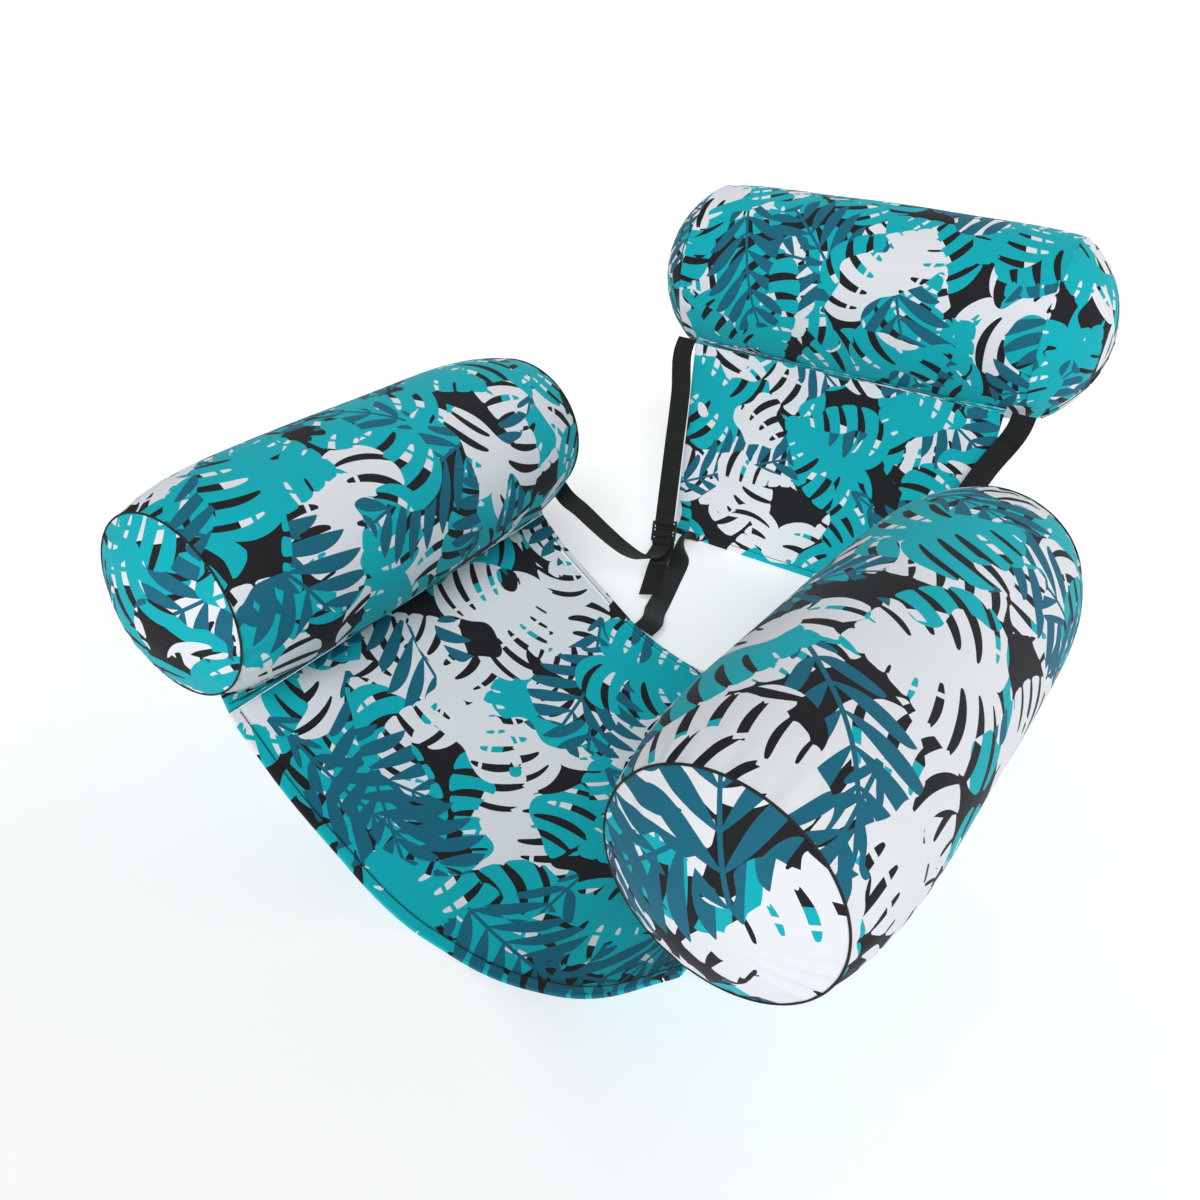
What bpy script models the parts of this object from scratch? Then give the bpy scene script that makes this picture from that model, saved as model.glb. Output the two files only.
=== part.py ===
"""Floating pool chair: two arm bolsters and a headrest bolster joined by cloth and webbing.

Each bolster is a printed cloth cover round an air bladder. A cloth sling hangs between the
arms, a cloth back hangs from the headrest, and webbing straps tie the two halves together.
Front is -Y, up is +Z. The origin is on the ground, under the middle of the bounding box.
"""
import math
from dataclasses import dataclass

import bmesh
import bpy
from mathutils import Matrix, Vector

# Arm bolsters
ARM_CROWN_RADIUS = 0.110
ARM_SEAM_RADIUS = 0.090
ARM_SEAM_LENGTH = 0.542
ARM_DOME = 0.029
ARM_SPACING = 0.580
ARM_SPLAY_DEGREES = 2.4
ARM_AXIS_HEIGHT = 0.252

# Headrest bolster
HEAD_CROWN_RADIUS = 0.121
HEAD_SEAM_RADIUS = 0.115
HEAD_SEAM_LENGTH = 0.490
HEAD_DOME = 0.066
HEAD_SETBACK = 0.682
HEAD_AXIS_HEIGHT = 0.398

# Covers, bladders and the gaps between pieces
COVER_WALL = 0.0010
BLADDER_WALL = 0.0004
BLADDER_EASE = 0.0006
BLADDER_SET_IN = 0.0035
SEAM_GAP = 0.0003
FOLD_GAP = 0.0004
RING_SEGMENTS = 32
BLADDER_SEGMENTS = 16
BARREL_POWER = 5.6
BARREL_SHARES = (0.0, 0.5, 0.78, 0.92, 1.0)
BLADDER_SHARES = (0.0, 0.78, 1.0)
DOME_SHARES = (1.0, 0.78, 0.52, 0.26, 0.0)
BLADDER_END_DEGREES = (30.0, 60.0, 90.0)

# Seat sling, back panel and the seams they fold on
CLOTH_THICKNESS = 0.0012
HEM_THICKNESS = 0.0030
HEM_WIDTH = 0.012
SEAM_FLAP_WIDTH = 0.006
SEAT_LENGTH = 0.524
SEAT_FRONT_INSET = 0.009
# Left and right of the sling: where its seam runs on the arm, where its flat foot ends, and
# the power of its climb from there
SEAT_SEAM_DEGREES = {-1: 22.5, 1: 11.25}
SEAT_FOOT = {-1: 0.0, 1: 0.040}
SLING_POWER = {-1: 1.65, 1: 2.0}
BACK_WIDTH = 0.446
BACK_SEAM_DEGREES = 45.0
BACK_FOOT_SETBACK = 0.580
BACK_BELLY = 0.012
SLING_STEPS = 9
BACK_COLUMNS = 8
BACK_ROW_SHARES = (0.25, 0.50, 0.75, 1.0)

# Valves
VALVE_POCKET = 0.018
VALVE_HOLE_RADIUS = 0.0090
VALVE_BORE_RADIUS = 0.0055
VALVE_FLANGE_RADIUS = 0.0160
VALVE_FLANGE_THICKNESS = 0.0012
VALVE_DEPTH = 0.012
VALVE_LAND = 0.003
CAP_RADIUS = 0.0100
CAP_THICKNESS = 0.0015
CAP_PLUG_LENGTH = 0.0070

# Zips
ZIP_WIDTH = 0.024
ZIP_TAPE_THICKNESS = 0.0008
ZIP_COIL_WIDTH = 0.0045
ZIP_COIL_HEIGHT = 0.0010
ZIP_MARGIN = 0.009
ZIP_STEP_DEGREES = 4.5
HEAD_ZIP_OFFSET = 0.034
HEAD_ZIP_TURN_DEGREES = -38.0
SLIDER_LENGTH = 0.010
SLIDER_WALL = 0.0014
PULL_LENGTH = 0.026
PULL_WIDTH = 0.0070
PULL_THICKNESS = 0.0012
# Outline of the pull: shares of its length and, beside each, of its width
PULL_SHARES = ((-0.02, 0.30), (0.10, 0.36), (0.45, 0.36), (0.62, 0.50), (0.94, 0.50), (1.0, 0.34))

# Webbing and ladder locks
WEBBING_WIDTH = 0.030
WEBBING_THICKNESS = 0.0012
LOCK_THICKNESS = 0.0025
LOCK_BARS = 4
LOCK_BAR = 0.0025
LOCK_PITCH = 0.009
LOCK_RAIL = 0.0035
LOCK_EDGE = 0.0004
LOCK_SIDE_GAP = 0.0006
LOCK_IN_FROM_AXIS = 0.1196
LOCK_SETBACK = 0.4464
LOCK_HEIGHT = 0.0735
LOOP_LAP = 0.013
LOOP_RETURN = 0.008
STRAP_LEAD = 0.012
STRAP_SEAM_DEGREES = 45.0
HEAD_STRAP_DEGREES = 40.0
TAIL_REACH = 0.087
TAIL_INWARD = 0.029
TAIL_END_HEIGHT = 0.019
TAIL_BEHIND_LOOP = 0.0058
LOOP_EASE = 0.0004
LOOP_TURN_DEGREES = 30.0
# How the slack arm strap is pulled at its two ends: outward, back and up
ARM_STRAP_ARRIVE = (-0.026, 0.050, -0.056)
ARM_STRAP_LEAVE = (-0.014, -0.060, -0.027)
LINK_BACK_INSET = 0.033
LINK_BOW = 0.002
LINK_SAG = 0.016
# Height on the sling at which the link straps leave its rear hem, and their gap to it
LINK_SEAT_HEIGHT = 0.0262
LINK_GAP = 0.0009
LINK_TILT_SHARE = 0.5
# Places along the hanging head strap, as shares of its drop from the headrest to the lock
HANG_SHARES = (0.72, 0.40)
# Places where the head strap passes the lock: shares of the bar pitch, and on which side
WEAVE_SHARES = ((2.6, 1), (1.5, 1), (0.5, -1), (-0.5, 1))
# Where the tail drops through the slot above the last bar, as a share of the bar pitch
TAIL_SLOT_SHARE = -0.86
# The bow of the head strap's free tail: a place along it, and the height left there
TAIL_SHARE = 0.50
TAIL_HEIGHT_SHARE = 0.62
# The arm strap's loop round the lock's last bar, as shares of the bar pitch
LOOP_TURN_SHARES = (0.55, 0.27, 0.40)
# Places along the arm strap's hang, as shares of it from the arm to the lock
HANG_STEPS = (0.16, 0.32, 0.48, 0.64, 0.80)
# Places along a link strap between its two sewn ends, as shares of its span
LINK_SHARES = (0.25, 0.50, 0.75)

for old in list(bpy.data.objects):
    bpy.data.objects.remove(old, do_unlink=True)


def material(name, colour, roughness, metallic=0.0):
    """A plain Principled material."""
    made = bpy.data.materials.new(name)
    made.use_nodes = True
    shader = made.node_tree.nodes["Principled BSDF"]
    shader.inputs["Base Color"].default_value = (*colour, 1.0)
    shader.inputs["Roughness"].default_value = roughness
    shader.inputs["Metallic"].default_value = metallic
    made.diffuse_color = (*colour, 1.0)
    return made


MATERIALS = {
    "printed_cloth": material("printed_cloth", (0.02, 0.46, 0.51), 0.85),
    "bladder_film": material("bladder_film", (0.62, 0.64, 0.66), 0.35),
    "valve_plastic": material("valve_plastic", (0.75, 0.77, 0.78), 0.40),
    "zip_coil": material("zip_coil", (0.012, 0.012, 0.014), 0.60),
    "zip_metal": material("zip_metal", (0.035, 0.035, 0.038), 0.35, 0.8),
    "webbing": material("webbing", (0.006, 0.007, 0.006), 0.80),
    "buckle_plastic": material("buckle_plastic", (0.010, 0.011, 0.011), 0.45),
}


@dataclass
class Bolster:
    """One bolster. Its local Z is the axis, towards the zip end, and its local Y is up."""

    name: str
    centre: Vector
    direction: Vector
    crown: float
    seam: float
    length: float
    dome: float
    far_end: str
    zip_end: str
    zip_offset: float
    zip_turn_degrees: float

    def __post_init__(self):
        up = Vector((0.0, 0.0, 1.0))
        side = up.cross(self.direction)
        turn = Matrix((side, up, self.direction)).transposed().to_4x4()
        self.frame = Matrix.Translation(self.centre) @ turn
        self.sphere = (self.seam ** 2 + self.dome ** 2) / (2 * self.dome)
        self.sphere_centre = self.length / 2 + SEAM_GAP + self.dome - self.sphere

    def radius(self, share):
        """Cover radius at a share of the half length: full crown, drawn in at the end seams."""
        return self.seam + (self.crown - self.seam) * (1 - abs(share) ** BARREL_POWER)

    def barrel(self, shares, inset, set_in=0.0):
        """Profile points (radius, height) from one end seam to the other."""
        both = [-share for share in reversed(shares)] + list(shares[1:])
        points = []
        for share in both:
            drawn = set_in if abs(share) == 1.0 else 0.0
            points.append((self.radius(share) - inset - drawn, share * self.length / 2))
        return points

    def cap(self, inset):
        """Profile points of the domed end panel, from its seam to its pole."""
        ball = self.sphere - inset
        reach = math.acos((self.sphere - self.dome) / ball)
        return [
            (ball * math.sin(reach * share), self.sphere_centre + ball * math.cos(reach * share))
            for share in DOME_SHARES
        ]

    def dome_height(self, radius, inset):
        """Height of the domed end panel's facets, set in by inset, at a radius."""
        profile = self.cap(inset)
        for (wide, low), (narrow, high) in zip(profile, profile[1:]):
            if radius >= narrow:
                return low + (high - low) * (wide - radius) / (wide - narrow)
        return profile[-1][1]

    def valve_height(self):
        """Height of the flat land that the valve sits on."""
        return self.length / 2 + self.dome - VALVE_POCKET

    def on_dome(self, across, angle, rise):
        """World point over the zip end's dome: across the zip, along its arc, above the cloth."""
        arc = math.sqrt((self.sphere + rise) ** 2 - across ** 2)
        point = Vector((across, arc * math.sin(angle), self.sphere_centre + arc * math.cos(angle)))
        turn = Matrix.Rotation(math.radians(self.zip_turn_degrees), 4, "Z")
        return self.frame @ turn @ point

    def zip_reach(self):
        """Half angle of the zip's arc on the dome."""
        edge = math.sqrt((self.seam - ZIP_MARGIN) ** 2 - self.zip_offset ** 2)
        return math.asin(edge / math.sqrt(self.sphere ** 2 - self.zip_offset ** 2))


SPLAY = math.radians(ARM_SPLAY_DEGREES)
ARM_BALL = (ARM_SEAM_RADIUS ** 2 + ARM_DOME ** 2) / (2 * ARM_DOME)
ARM_HALF = ARM_SEAM_LENGTH / 2 + SEAM_GAP + ARM_DOME
ARM_REACH = (ARM_HALF - ARM_BALL) * math.cos(SPLAY) + ARM_BALL
ARMS_Y = (ARM_REACH - HEAD_SETBACK - HEAD_CROWN_RADIUS) / 2
SEAT_FRONT_Y = ARMS_Y - ARM_SEAM_LENGTH / 2 + SEAT_FRONT_INSET
SEAT_REAR_Y = SEAT_FRONT_Y + SEAT_LENGTH
HEAD_Y = ARMS_Y + HEAD_SETBACK
BACK_FOOT_Y = ARMS_Y + BACK_FOOT_SETBACK


def arm(name, side):
    """The arm bolster on one side; side is -1 for left and +1 for right."""
    return Bolster(
        name=name,
        centre=Vector((side * ARM_SPACING / 2, ARMS_Y, ARM_AXIS_HEIGHT)),
        direction=Vector((side * math.sin(SPLAY), math.cos(SPLAY), 0.0)),
        crown=ARM_CROWN_RADIUS,
        seam=ARM_SEAM_RADIUS,
        length=ARM_SEAM_LENGTH,
        dome=ARM_DOME,
        far_end="front",
        zip_end="rear",
        zip_offset=0.0,
        zip_turn_degrees=0.0,
    )


ARMS = {-1: arm("left_arm", -1), 1: arm("right_arm", 1)}
HEADREST = Bolster(
    name="headrest",
    centre=Vector((0.0, HEAD_Y, HEAD_AXIS_HEIGHT)),
    direction=Vector((1.0, 0.0, 0.0)),
    crown=HEAD_CROWN_RADIUS,
    seam=HEAD_SEAM_RADIUS,
    length=HEAD_SEAM_LENGTH,
    dome=HEAD_DOME,
    far_end="left",
    zip_end="right",
    zip_offset=HEAD_ZIP_OFFSET,
    zip_turn_degrees=HEAD_ZIP_TURN_DEGREES,
)


def finish(name, mesh_builder, material_name, smooth=True):
    """Turn a bmesh into a named object with its material."""
    bmesh.ops.recalc_face_normals(mesh_builder, faces=mesh_builder.faces)
    mesh = bpy.data.meshes.new(name)
    mesh_builder.to_mesh(mesh)
    mesh_builder.free()
    mesh.materials.append(MATERIALS[material_name])
    made = bpy.data.objects.new(name, mesh)
    bpy.context.scene.collection.objects.link(made)
    if smooth:
        mesh.shade_smooth()
        mesh.set_sharp_from_angle(angle=math.radians(35))
    return made


def turned(name, profile, frame, material_name, segments, closed):
    """Spin a profile of (radius, height) points round the frame's Z axis."""
    bm = bmesh.new()
    verts = [bm.verts.new((radius, 0.0, height)) for radius, height in profile]
    edges = [bm.edges.new(pair) for pair in zip(verts, verts[1:])]
    if closed:
        edges.append(bm.edges.new((verts[-1], verts[0])))
    bmesh.ops.spin(
        bm, geom=verts + edges, cent=(0, 0, 0), axis=(0, 0, 1), angle=math.tau, steps=segments,
        use_merge=True,
    )
    bmesh.ops.remove_doubles(bm, verts=bm.verts, dist=CLOTH_THICKNESS / 1000)
    bmesh.ops.transform(bm, matrix=frame, verts=bm.verts)
    return finish(name, bm, material_name)


def lofted(name, sections, material_name, smooth=True, twisted=False):
    """Join a row of like sections into one closed solid with its two ends filled.

    Flat webbing that twists has its faces split along the same diagonal above and below, so
    that the two never cross.
    """
    bm = bmesh.new()
    rings = [[bm.verts.new(point) for point in section] for section in sections]
    count = len(rings[0])
    for near, far in zip(rings, rings[1:]):
        for index in range(count):
            after = (index + 1) % count
            quad = (near[index], near[after], far[after], far[index])
            if not twisted:
                bm.faces.new(quad)
            elif index == 2:
                bm.faces.new((quad[0], quad[1], quad[3]))
                bm.faces.new((quad[1], quad[2], quad[3]))
            else:
                bm.faces.new(quad[:3])
                bm.faces.new((quad[0], quad[2], quad[3]))
    bm.faces.new(rings[0])
    bm.faces.new(rings[-1])
    return finish(name, bm, material_name, smooth)


def mirrored(frame, panel_end):
    """The frame turned end for end, for the panel away from the zip."""
    return frame @ Matrix.Rotation(math.pi, 4, "Y") if panel_end == "far" else frame


def bladder_outline(bolster, inset):
    """Bladder profile from its closed pole, past the barrel, to the valve hole's rim."""
    ease = COVER_WALL + BLADDER_EASE + inset
    outline = [
        (radius, -height) for radius, height in reversed(bolster.cap(ease)[1:])
    ]
    outline += bolster.barrel(BLADDER_SHARES, ease, BLADDER_SET_IN)
    land = VALVE_FLANGE_RADIUS + VALVE_LAND
    wide = outline[-1][0]
    rise = bolster.valve_height() - inset - bolster.length / 2
    for degrees in BLADDER_END_DEGREES:
        swing = math.radians(degrees)
        radius = land + (wide - land) * math.cos(swing)
        height = bolster.length / 2 + rise * math.sin(swing)
        outline.append((radius, min(height, bolster.dome_height(radius, ease))))
    outline.append((VALVE_HOLE_RADIUS, bolster.valve_height() - inset))
    return outline


def build_cover(bolster):
    """The sleeve and its two domed end panels, sewn at the end seams."""
    outer = bolster.barrel(BARREL_SHARES, 0.0)
    inner = bolster.barrel(BARREL_SHARES, COVER_WALL)
    turned(
        f"{bolster.name}_sleeve", outer + inner[::-1], bolster.frame, "printed_cloth",
        RING_SEGMENTS, closed=True,
    )
    panel = bolster.cap(0.0)[::-1] + bolster.cap(COVER_WALL)
    for end, title in (("far", bolster.far_end), ("zip", bolster.zip_end)):
        turned(
            f"{bolster.name}_{title}_panel", panel, mirrored(bolster.frame, end),
            "printed_cloth", RING_SEGMENTS, closed=False,
        )


def build_bladder(bolster):
    """The air bladder, hollow and open only at its valve hole."""
    outer = bladder_outline(bolster, 0.0)
    inner = bladder_outline(bolster, BLADDER_WALL)
    turned(
        f"{bolster.name}_bladder", outer + inner[::-1], bolster.frame, "bladder_film",
        BLADDER_SEGMENTS, closed=False,
    )


def build_valve(bolster):
    """The valve in the bladder's hole, and the cap that plugs it."""
    land = bolster.valve_height() + SEAM_GAP
    top = land + VALVE_FLANGE_THICKNESS
    neck = VALVE_HOLE_RADIUS - SEAM_GAP
    foot = land - VALVE_DEPTH
    body = [
        (VALVE_BORE_RADIUS, foot), (neck, foot), (neck, land), (VALVE_FLANGE_RADIUS, land),
        (VALVE_FLANGE_RADIUS, top), (VALVE_BORE_RADIUS, top),
    ]
    turned(
        f"{bolster.name}_valve", body, bolster.frame, "valve_plastic", BLADDER_SEGMENTS, closed=True,
    )
    plug = VALVE_BORE_RADIUS - SEAM_GAP
    rest = top + SEAM_GAP
    cap = [
        (0.0, rest - CAP_PLUG_LENGTH), (plug, rest - CAP_PLUG_LENGTH), (plug, rest),
        (CAP_RADIUS, rest), (CAP_RADIUS, rest + CAP_THICKNESS), (0.0, rest + CAP_THICKNESS),
    ]
    turned(
        f"{bolster.name}_valve_cap", cap, bolster.frame, "valve_plastic", BLADDER_SEGMENTS,
        closed=False,
    )


def swept_on_dome(name, bolster, outline, angles, material_name):
    """Sweep a section of (across, rise) points along the zip's arc on the dome."""
    sections = [
        [bolster.on_dome(bolster.zip_offset + across, angle, rise) for across, rise in outline]
        for angle in angles
    ]
    lofted(name, sections, material_name, smooth=False)


def build_zip(bolster):
    """The zip on an end panel: tape with its coil, the slider and the slider's pull."""
    reach = bolster.zip_reach()
    half, coil = ZIP_WIDTH / 2, ZIP_COIL_WIDTH / 2
    tape = SEAM_GAP + ZIP_TAPE_THICKNESS
    crest = tape + ZIP_COIL_HEIGHT
    steps = math.ceil(2 * reach / math.radians(ZIP_STEP_DEGREES))
    swept_on_dome(
        f"{bolster.name}_zip", bolster,
        [
            (-half, SEAM_GAP), (-half / 3, SEAM_GAP), (half / 3, SEAM_GAP), (half, SEAM_GAP),
            (half, tape), (coil, tape), (coil, crest), (-coil, crest), (-coil, tape),
            (-half, tape),
        ],
        [reach * (2 * step / steps - 1) for step in range(steps + 1)],
        "zip_coil",
    )
    arc = bolster.sphere + crest
    half_angle = SLIDER_LENGTH / 2 / arc
    place = reach - 2 * half_angle
    inside = coil + SEAM_GAP
    outside = inside + SLIDER_WALL
    low, ceiling = tape + SEAM_GAP, crest + SEAM_GAP
    top = ceiling + SLIDER_WALL
    swept_on_dome(
        f"{bolster.name}_zip_slider", bolster,
        [
            (-outside, low), (-inside, low), (-inside, ceiling), (inside, ceiling),
            (inside, low), (outside, low), (outside, top), (-outside, top),
        ],
        [place - half_angle, place, place + half_angle],
        "zip_metal",
    )
    build_pull(bolster, place, top + SEAM_GAP + PULL_THICKNESS / 2)


def pull_frame(bolster, angle, rise):
    """Origin and directions of the zip pull: along the zip, across it, and off the cloth."""
    turn = Matrix.Rotation(math.radians(bolster.zip_turn_degrees), 3, "Z")
    local = bolster.frame.to_3x3() @ turn
    along = local @ Vector((0.0, -math.cos(angle), math.sin(angle)))
    origin = bolster.on_dome(bolster.zip_offset, angle, rise)
    ball_centre = bolster.frame @ Vector((0.0, 0.0, bolster.sphere_centre))
    off = (origin - ball_centre).normalized()
    return origin, along, off.cross(along), off


def build_pull(bolster, angle, rise):
    """The pull: a tapered tab lying back along the zip from the slider."""
    origin, along, across, off = pull_frame(bolster, angle, rise)
    half = PULL_THICKNESS / 2
    sections = []
    for length_share, width_share in PULL_SHARES:
        spine = origin + along * PULL_LENGTH * length_share
        wide = PULL_WIDTH * width_share
        sections.append([
            spine - across * wide - off * half, spine + across * wide - off * half,
            spine + across * wide + off * half, spine - across * wide + off * half,
        ])
    lofted(f"{bolster.name}_zip_pull", sections, "zip_metal", smooth=False)


def seam_point(bolster, toward, share, radius):
    """World point at a radius from the axis in a local direction, at a share of half length."""
    local = Vector((toward.x * radius, toward.y * radius, share * bolster.length / 2))
    return bolster.frame @ local


def build_flap(name, bolster, toward, first_share, last_share):
    """The seam flap: it follows the cover's crown above and is straight along its fold below."""
    inner_shares = [-share for share in reversed(BARREL_SHARES)] + list(BARREL_SHARES[1:])
    shares = [first_share]
    shares += [share for share in inner_shares if first_share < share < last_share]
    shares.append(last_share)
    fold = bolster.crown + SEAM_FLAP_WIDTH
    sideways = Vector((-toward.y, toward.x, 0.0)) * CLOTH_THICKNESS / 2
    spread = bolster.frame.to_3x3() @ sideways
    sections = []
    for share in shares:
        root = seam_point(bolster, toward, share, bolster.radius(share) + SEAM_GAP)
        tip = seam_point(bolster, toward, share, fold - FOLD_GAP)
        sections.append([root - spread, root + spread, tip + spread, tip - spread])
    lofted(name, sections, "printed_cloth", smooth=False)


def sling_climb(side, across, fold):
    """Height of the sling's middle surface on one side, and its slope, at a way across."""
    foot = SEAT_FOOT[side]
    ground = CLOTH_THICKNESS / 2
    wide = abs(fold.x) - foot
    share = max(across - foot, 0.0) / wide
    power = SLING_POWER[side]
    rise = fold.z - ground
    return ground + rise * share ** power, power * rise / wide * share ** (power - 1)


def sling_across(side, height, fold):
    """How far out one side of the sling reaches a height: sling_climb solved for the way."""
    foot = SEAT_FOOT[side]
    ground = CLOTH_THICKNESS / 2
    share = ((height - ground) / (fold.z - ground)) ** (1 / SLING_POWER[side])
    return foot + (abs(fold.x) - foot) * share


def arm_toward(side, degrees):
    """Local direction from an arm's axis, measured from straight down, towards the seat."""
    angle = math.radians(degrees)
    inward = ARMS[side].frame.to_3x3().inverted() @ Vector((-side, 0.0, 0.0))
    return Vector((math.copysign(math.sin(angle), inward.x), -math.cos(angle)))


def head_toward(degrees):
    """Local direction from the headrest's axis, measured from straight down, to the front."""
    angle = math.radians(degrees)
    forward = HEADREST.frame.to_3x3().inverted() @ Vector((0.0, -1.0, 0.0))
    return Vector((math.copysign(math.sin(angle), forward.x), -math.cos(angle)))


def arm_share(side, y):
    """Share of an arm's half length at a world Y."""
    return (y - ARMS_Y) / math.cos(SPLAY) / (ARM_SEAM_LENGTH / 2)


def seat_fold(side, y):
    """Point of the arm's fold line at a world Y."""
    bolster = ARMS[side]
    toward = arm_toward(side, SEAT_SEAM_DEGREES[side])
    reach = bolster.crown + SEAM_FLAP_WIDTH
    first = seam_point(bolster, toward, arm_share(side, SEAT_FRONT_Y), reach)
    last = seam_point(bolster, toward, arm_share(side, SEAT_REAR_Y), reach)
    return first.lerp(last, (y - first.y) / (last.y - first.y))


def back_fold():
    """Height and Y of the fold between the back panel and the headrest's seam flap."""
    toward = head_toward(BACK_SEAM_DEGREES)
    return seam_point(HEADREST, toward, 0.0, HEADREST.crown + SEAM_FLAP_WIDTH)


def grid_solid(name, low, high, material_name):
    """Close two like grids of points, an underside and a top, into one sheet."""
    bm = bmesh.new()
    under = [[bm.verts.new(point) for point in row] for row in low]
    over = [[bm.verts.new(point) for point in row] for row in high]
    rows, columns = len(low), len(low[0])
    for row in range(rows - 1):
        for column in range(columns - 1):
            for grid in (under, over):
                bm.faces.new((
                    grid[row][column], grid[row][column + 1], grid[row + 1][column + 1],
                    grid[row + 1][column],
                ))
    for grid_row in (0, rows - 1):
        for column in range(columns - 1):
            bm.faces.new((
                under[grid_row][column], under[grid_row][column + 1],
                over[grid_row][column + 1], over[grid_row][column],
            ))
    for column in (0, columns - 1):
        for row in range(rows - 1):
            bm.faces.new((
                under[row][column], under[row + 1][column], over[row + 1][column],
                over[row][column],
            ))
    return finish(name, bm, material_name, smooth=True)


def hem_thickness(inside, edge):
    """Sheet thickness a way in from a hemmed edge and from a seamed one."""
    lift = 1.0 if inside <= HEM_WIDTH and edge > HEM_WIDTH else 0.0
    return CLOTH_THICKNESS + (HEM_THICKNESS - CLOTH_THICKNESS) * lift


def hem_rows(first, last):
    """Places along a hemmed direction: each hem has a sharp step on its inner side."""
    step = CLOTH_THICKNESS / 2
    return [
        (first, 0.0), (first + HEM_WIDTH, HEM_WIDTH), (first + HEM_WIDTH + step, HEM_WIDTH + step),
        ((first + last) / 2, (last - first) / 2),
        (last - HEM_WIDTH - step, HEM_WIDTH + step), (last - HEM_WIDTH, HEM_WIDTH), (last, 0.0),
    ]


def sling_half(side, fold):
    """Mid-surface points (across, height) of half the sling, from its foot to its seam."""
    foot = SEAT_FOOT[side]
    wide = abs(fold.x) - foot
    places = [foot + wide * step / SLING_STEPS for step in range(SLING_STEPS + 1)]
    places.insert(SLING_STEPS, foot + wide - HEM_WIDTH)
    points = [(across, sling_climb(side, across, fold)[0]) for across in places]
    across, slope = places[-1], sling_climb(side, places[-1], fold)[1]
    end = Vector((1.0, slope)).normalized() * FOLD_GAP
    points[-1] = (across - end.x, points[-1][1] - end.y)
    return points


def build_seat():
    """The seat sling: a flat foot where it rests, then a curve up to each arm's seam."""
    low, high = [], []
    for y, inside in hem_rows(SEAT_FRONT_Y, SEAT_REAR_Y):
        left, right = (sling_half(side, seat_fold(side, y)) for side in (-1, 1))
        spine = [(-across, height) for across, height in reversed(left)] + right
        under, over = [], []
        for index, (across, height) in enumerate(spine):
            before = spine[max(index - 1, 0)]
            after = spine[min(index + 1, len(spine) - 1)]
            if -SEAT_FOOT[-1] - SEAM_GAP <= across <= SEAT_FOOT[1] + SEAM_GAP:
                normal = Vector((0.0, 1.0))
            else:
                normal = Vector((before[1] - after[1], after[0] - before[0])).normalized()
            edge = 0.0 if index in (0, len(spine) - 1) else HEM_WIDTH * 2
            depth = hem_thickness(inside, edge)
            down = CLOTH_THICKNESS / 2
            under.append((across - normal.x * down, y, height - normal.y * down))
            up = depth - down
            over.append((across + normal.x * up, y, height + normal.y * up))
        low.append(under)
        high.append(over)
    grid_solid("seat_panel", low, high, "printed_cloth")


def build_back():
    """The back panel: it hangs from the headrest's flap and stands on its lower hem."""
    top = back_fold()
    hang = top.z - FOLD_GAP
    heights = [0.0, HEM_WIDTH, HEM_WIDTH + CLOTH_THICKNESS / 2]
    heights += [hang * share for share in BACK_ROW_SHARES]
    low, high = [], []
    for height in heights:
        share = height / hang
        front, rear = [], []
        for column in range(BACK_COLUMNS + 1):
            across = BACK_WIDTH * (column / BACK_COLUMNS - 0.5)
            belly = BACK_BELLY * math.sin(math.pi * share) * (1 - (2 * across / BACK_WIDTH) ** 2)
            y = BACK_FOOT_Y + (top.y - BACK_FOOT_Y) * share + belly
            depth = HEM_THICKNESS if height <= HEM_WIDTH else CLOTH_THICKNESS
            front.append((across, y - depth / 2, height))
            rear.append((across, y + depth / 2, height))
        low.append(rear)
        high.append(front)
    grid_solid("back_panel", low, high, "printed_cloth")


def route_tangents(points):
    """Direction of travel at each point of a route, weighted to the nearer neighbour."""
    tangents = []
    for index, point in enumerate(points):
        before = point - points[max(index - 1, 0)]
        after = points[min(index + 1, len(points) - 1)] - point
        if index == 0 or index == len(points) - 1:
            tangents.append((before + after).normalized())
        else:
            near, far = before.length, after.length
            tangents.append((before / near * far + after / far * near) / (near + far))
    return tangents


def smooth_route(stations, steps):
    """Closer stations along a smooth curve through the route's own stations."""
    centres = [centre for centre, across in stations]
    tangents = route_tangents(centres)
    route = []
    for index in range(len(stations) - 1):
        start, end = centres[index], centres[index + 1]
        chord = (end - start).length
        leave, arrive = tangents[index] * chord, tangents[index + 1] * chord
        for step in range(steps):
            t = step / steps
            blend = t * t * (3 - 2 * t)
            centre = (
                start * (1 - blend) + end * blend
                + leave * t * (1 - t) ** 2 - arrive * t * t * (1 - t)
            )
            route.append((centre, stations[index][1].lerp(stations[index + 1][1], blend)))
    route.append(stations[-1])
    return route


def build_strap(name, stations, steps=3):
    """Flat webbing along stations of (centre, direction across the webbing)."""
    route = smooth_route(stations, steps)
    sections = []
    for index, (centre, wanted) in enumerate(route):
        before = route[max(index - 1, 0)][0]
        after = route[min(index + 1, len(route) - 1)][0]
        along = (after - before).normalized()
        across = (wanted - wanted.dot(along) * along).normalized()
        lift = abs(across.z) * WEBBING_WIDTH / 2 + WEBBING_THICKNESS / 2
        centre = Vector((centre.x, centre.y, max(centre.z, lift)))
        face = along.cross(across) * WEBBING_THICKNESS / 2
        side = across * WEBBING_WIDTH / 2
        sections.append([
            centre - side - face, centre + side - face, centre + side + face,
            centre - side + face,
        ])
    lofted(name, sections, "webbing", smooth=False, twisted=True)


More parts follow.
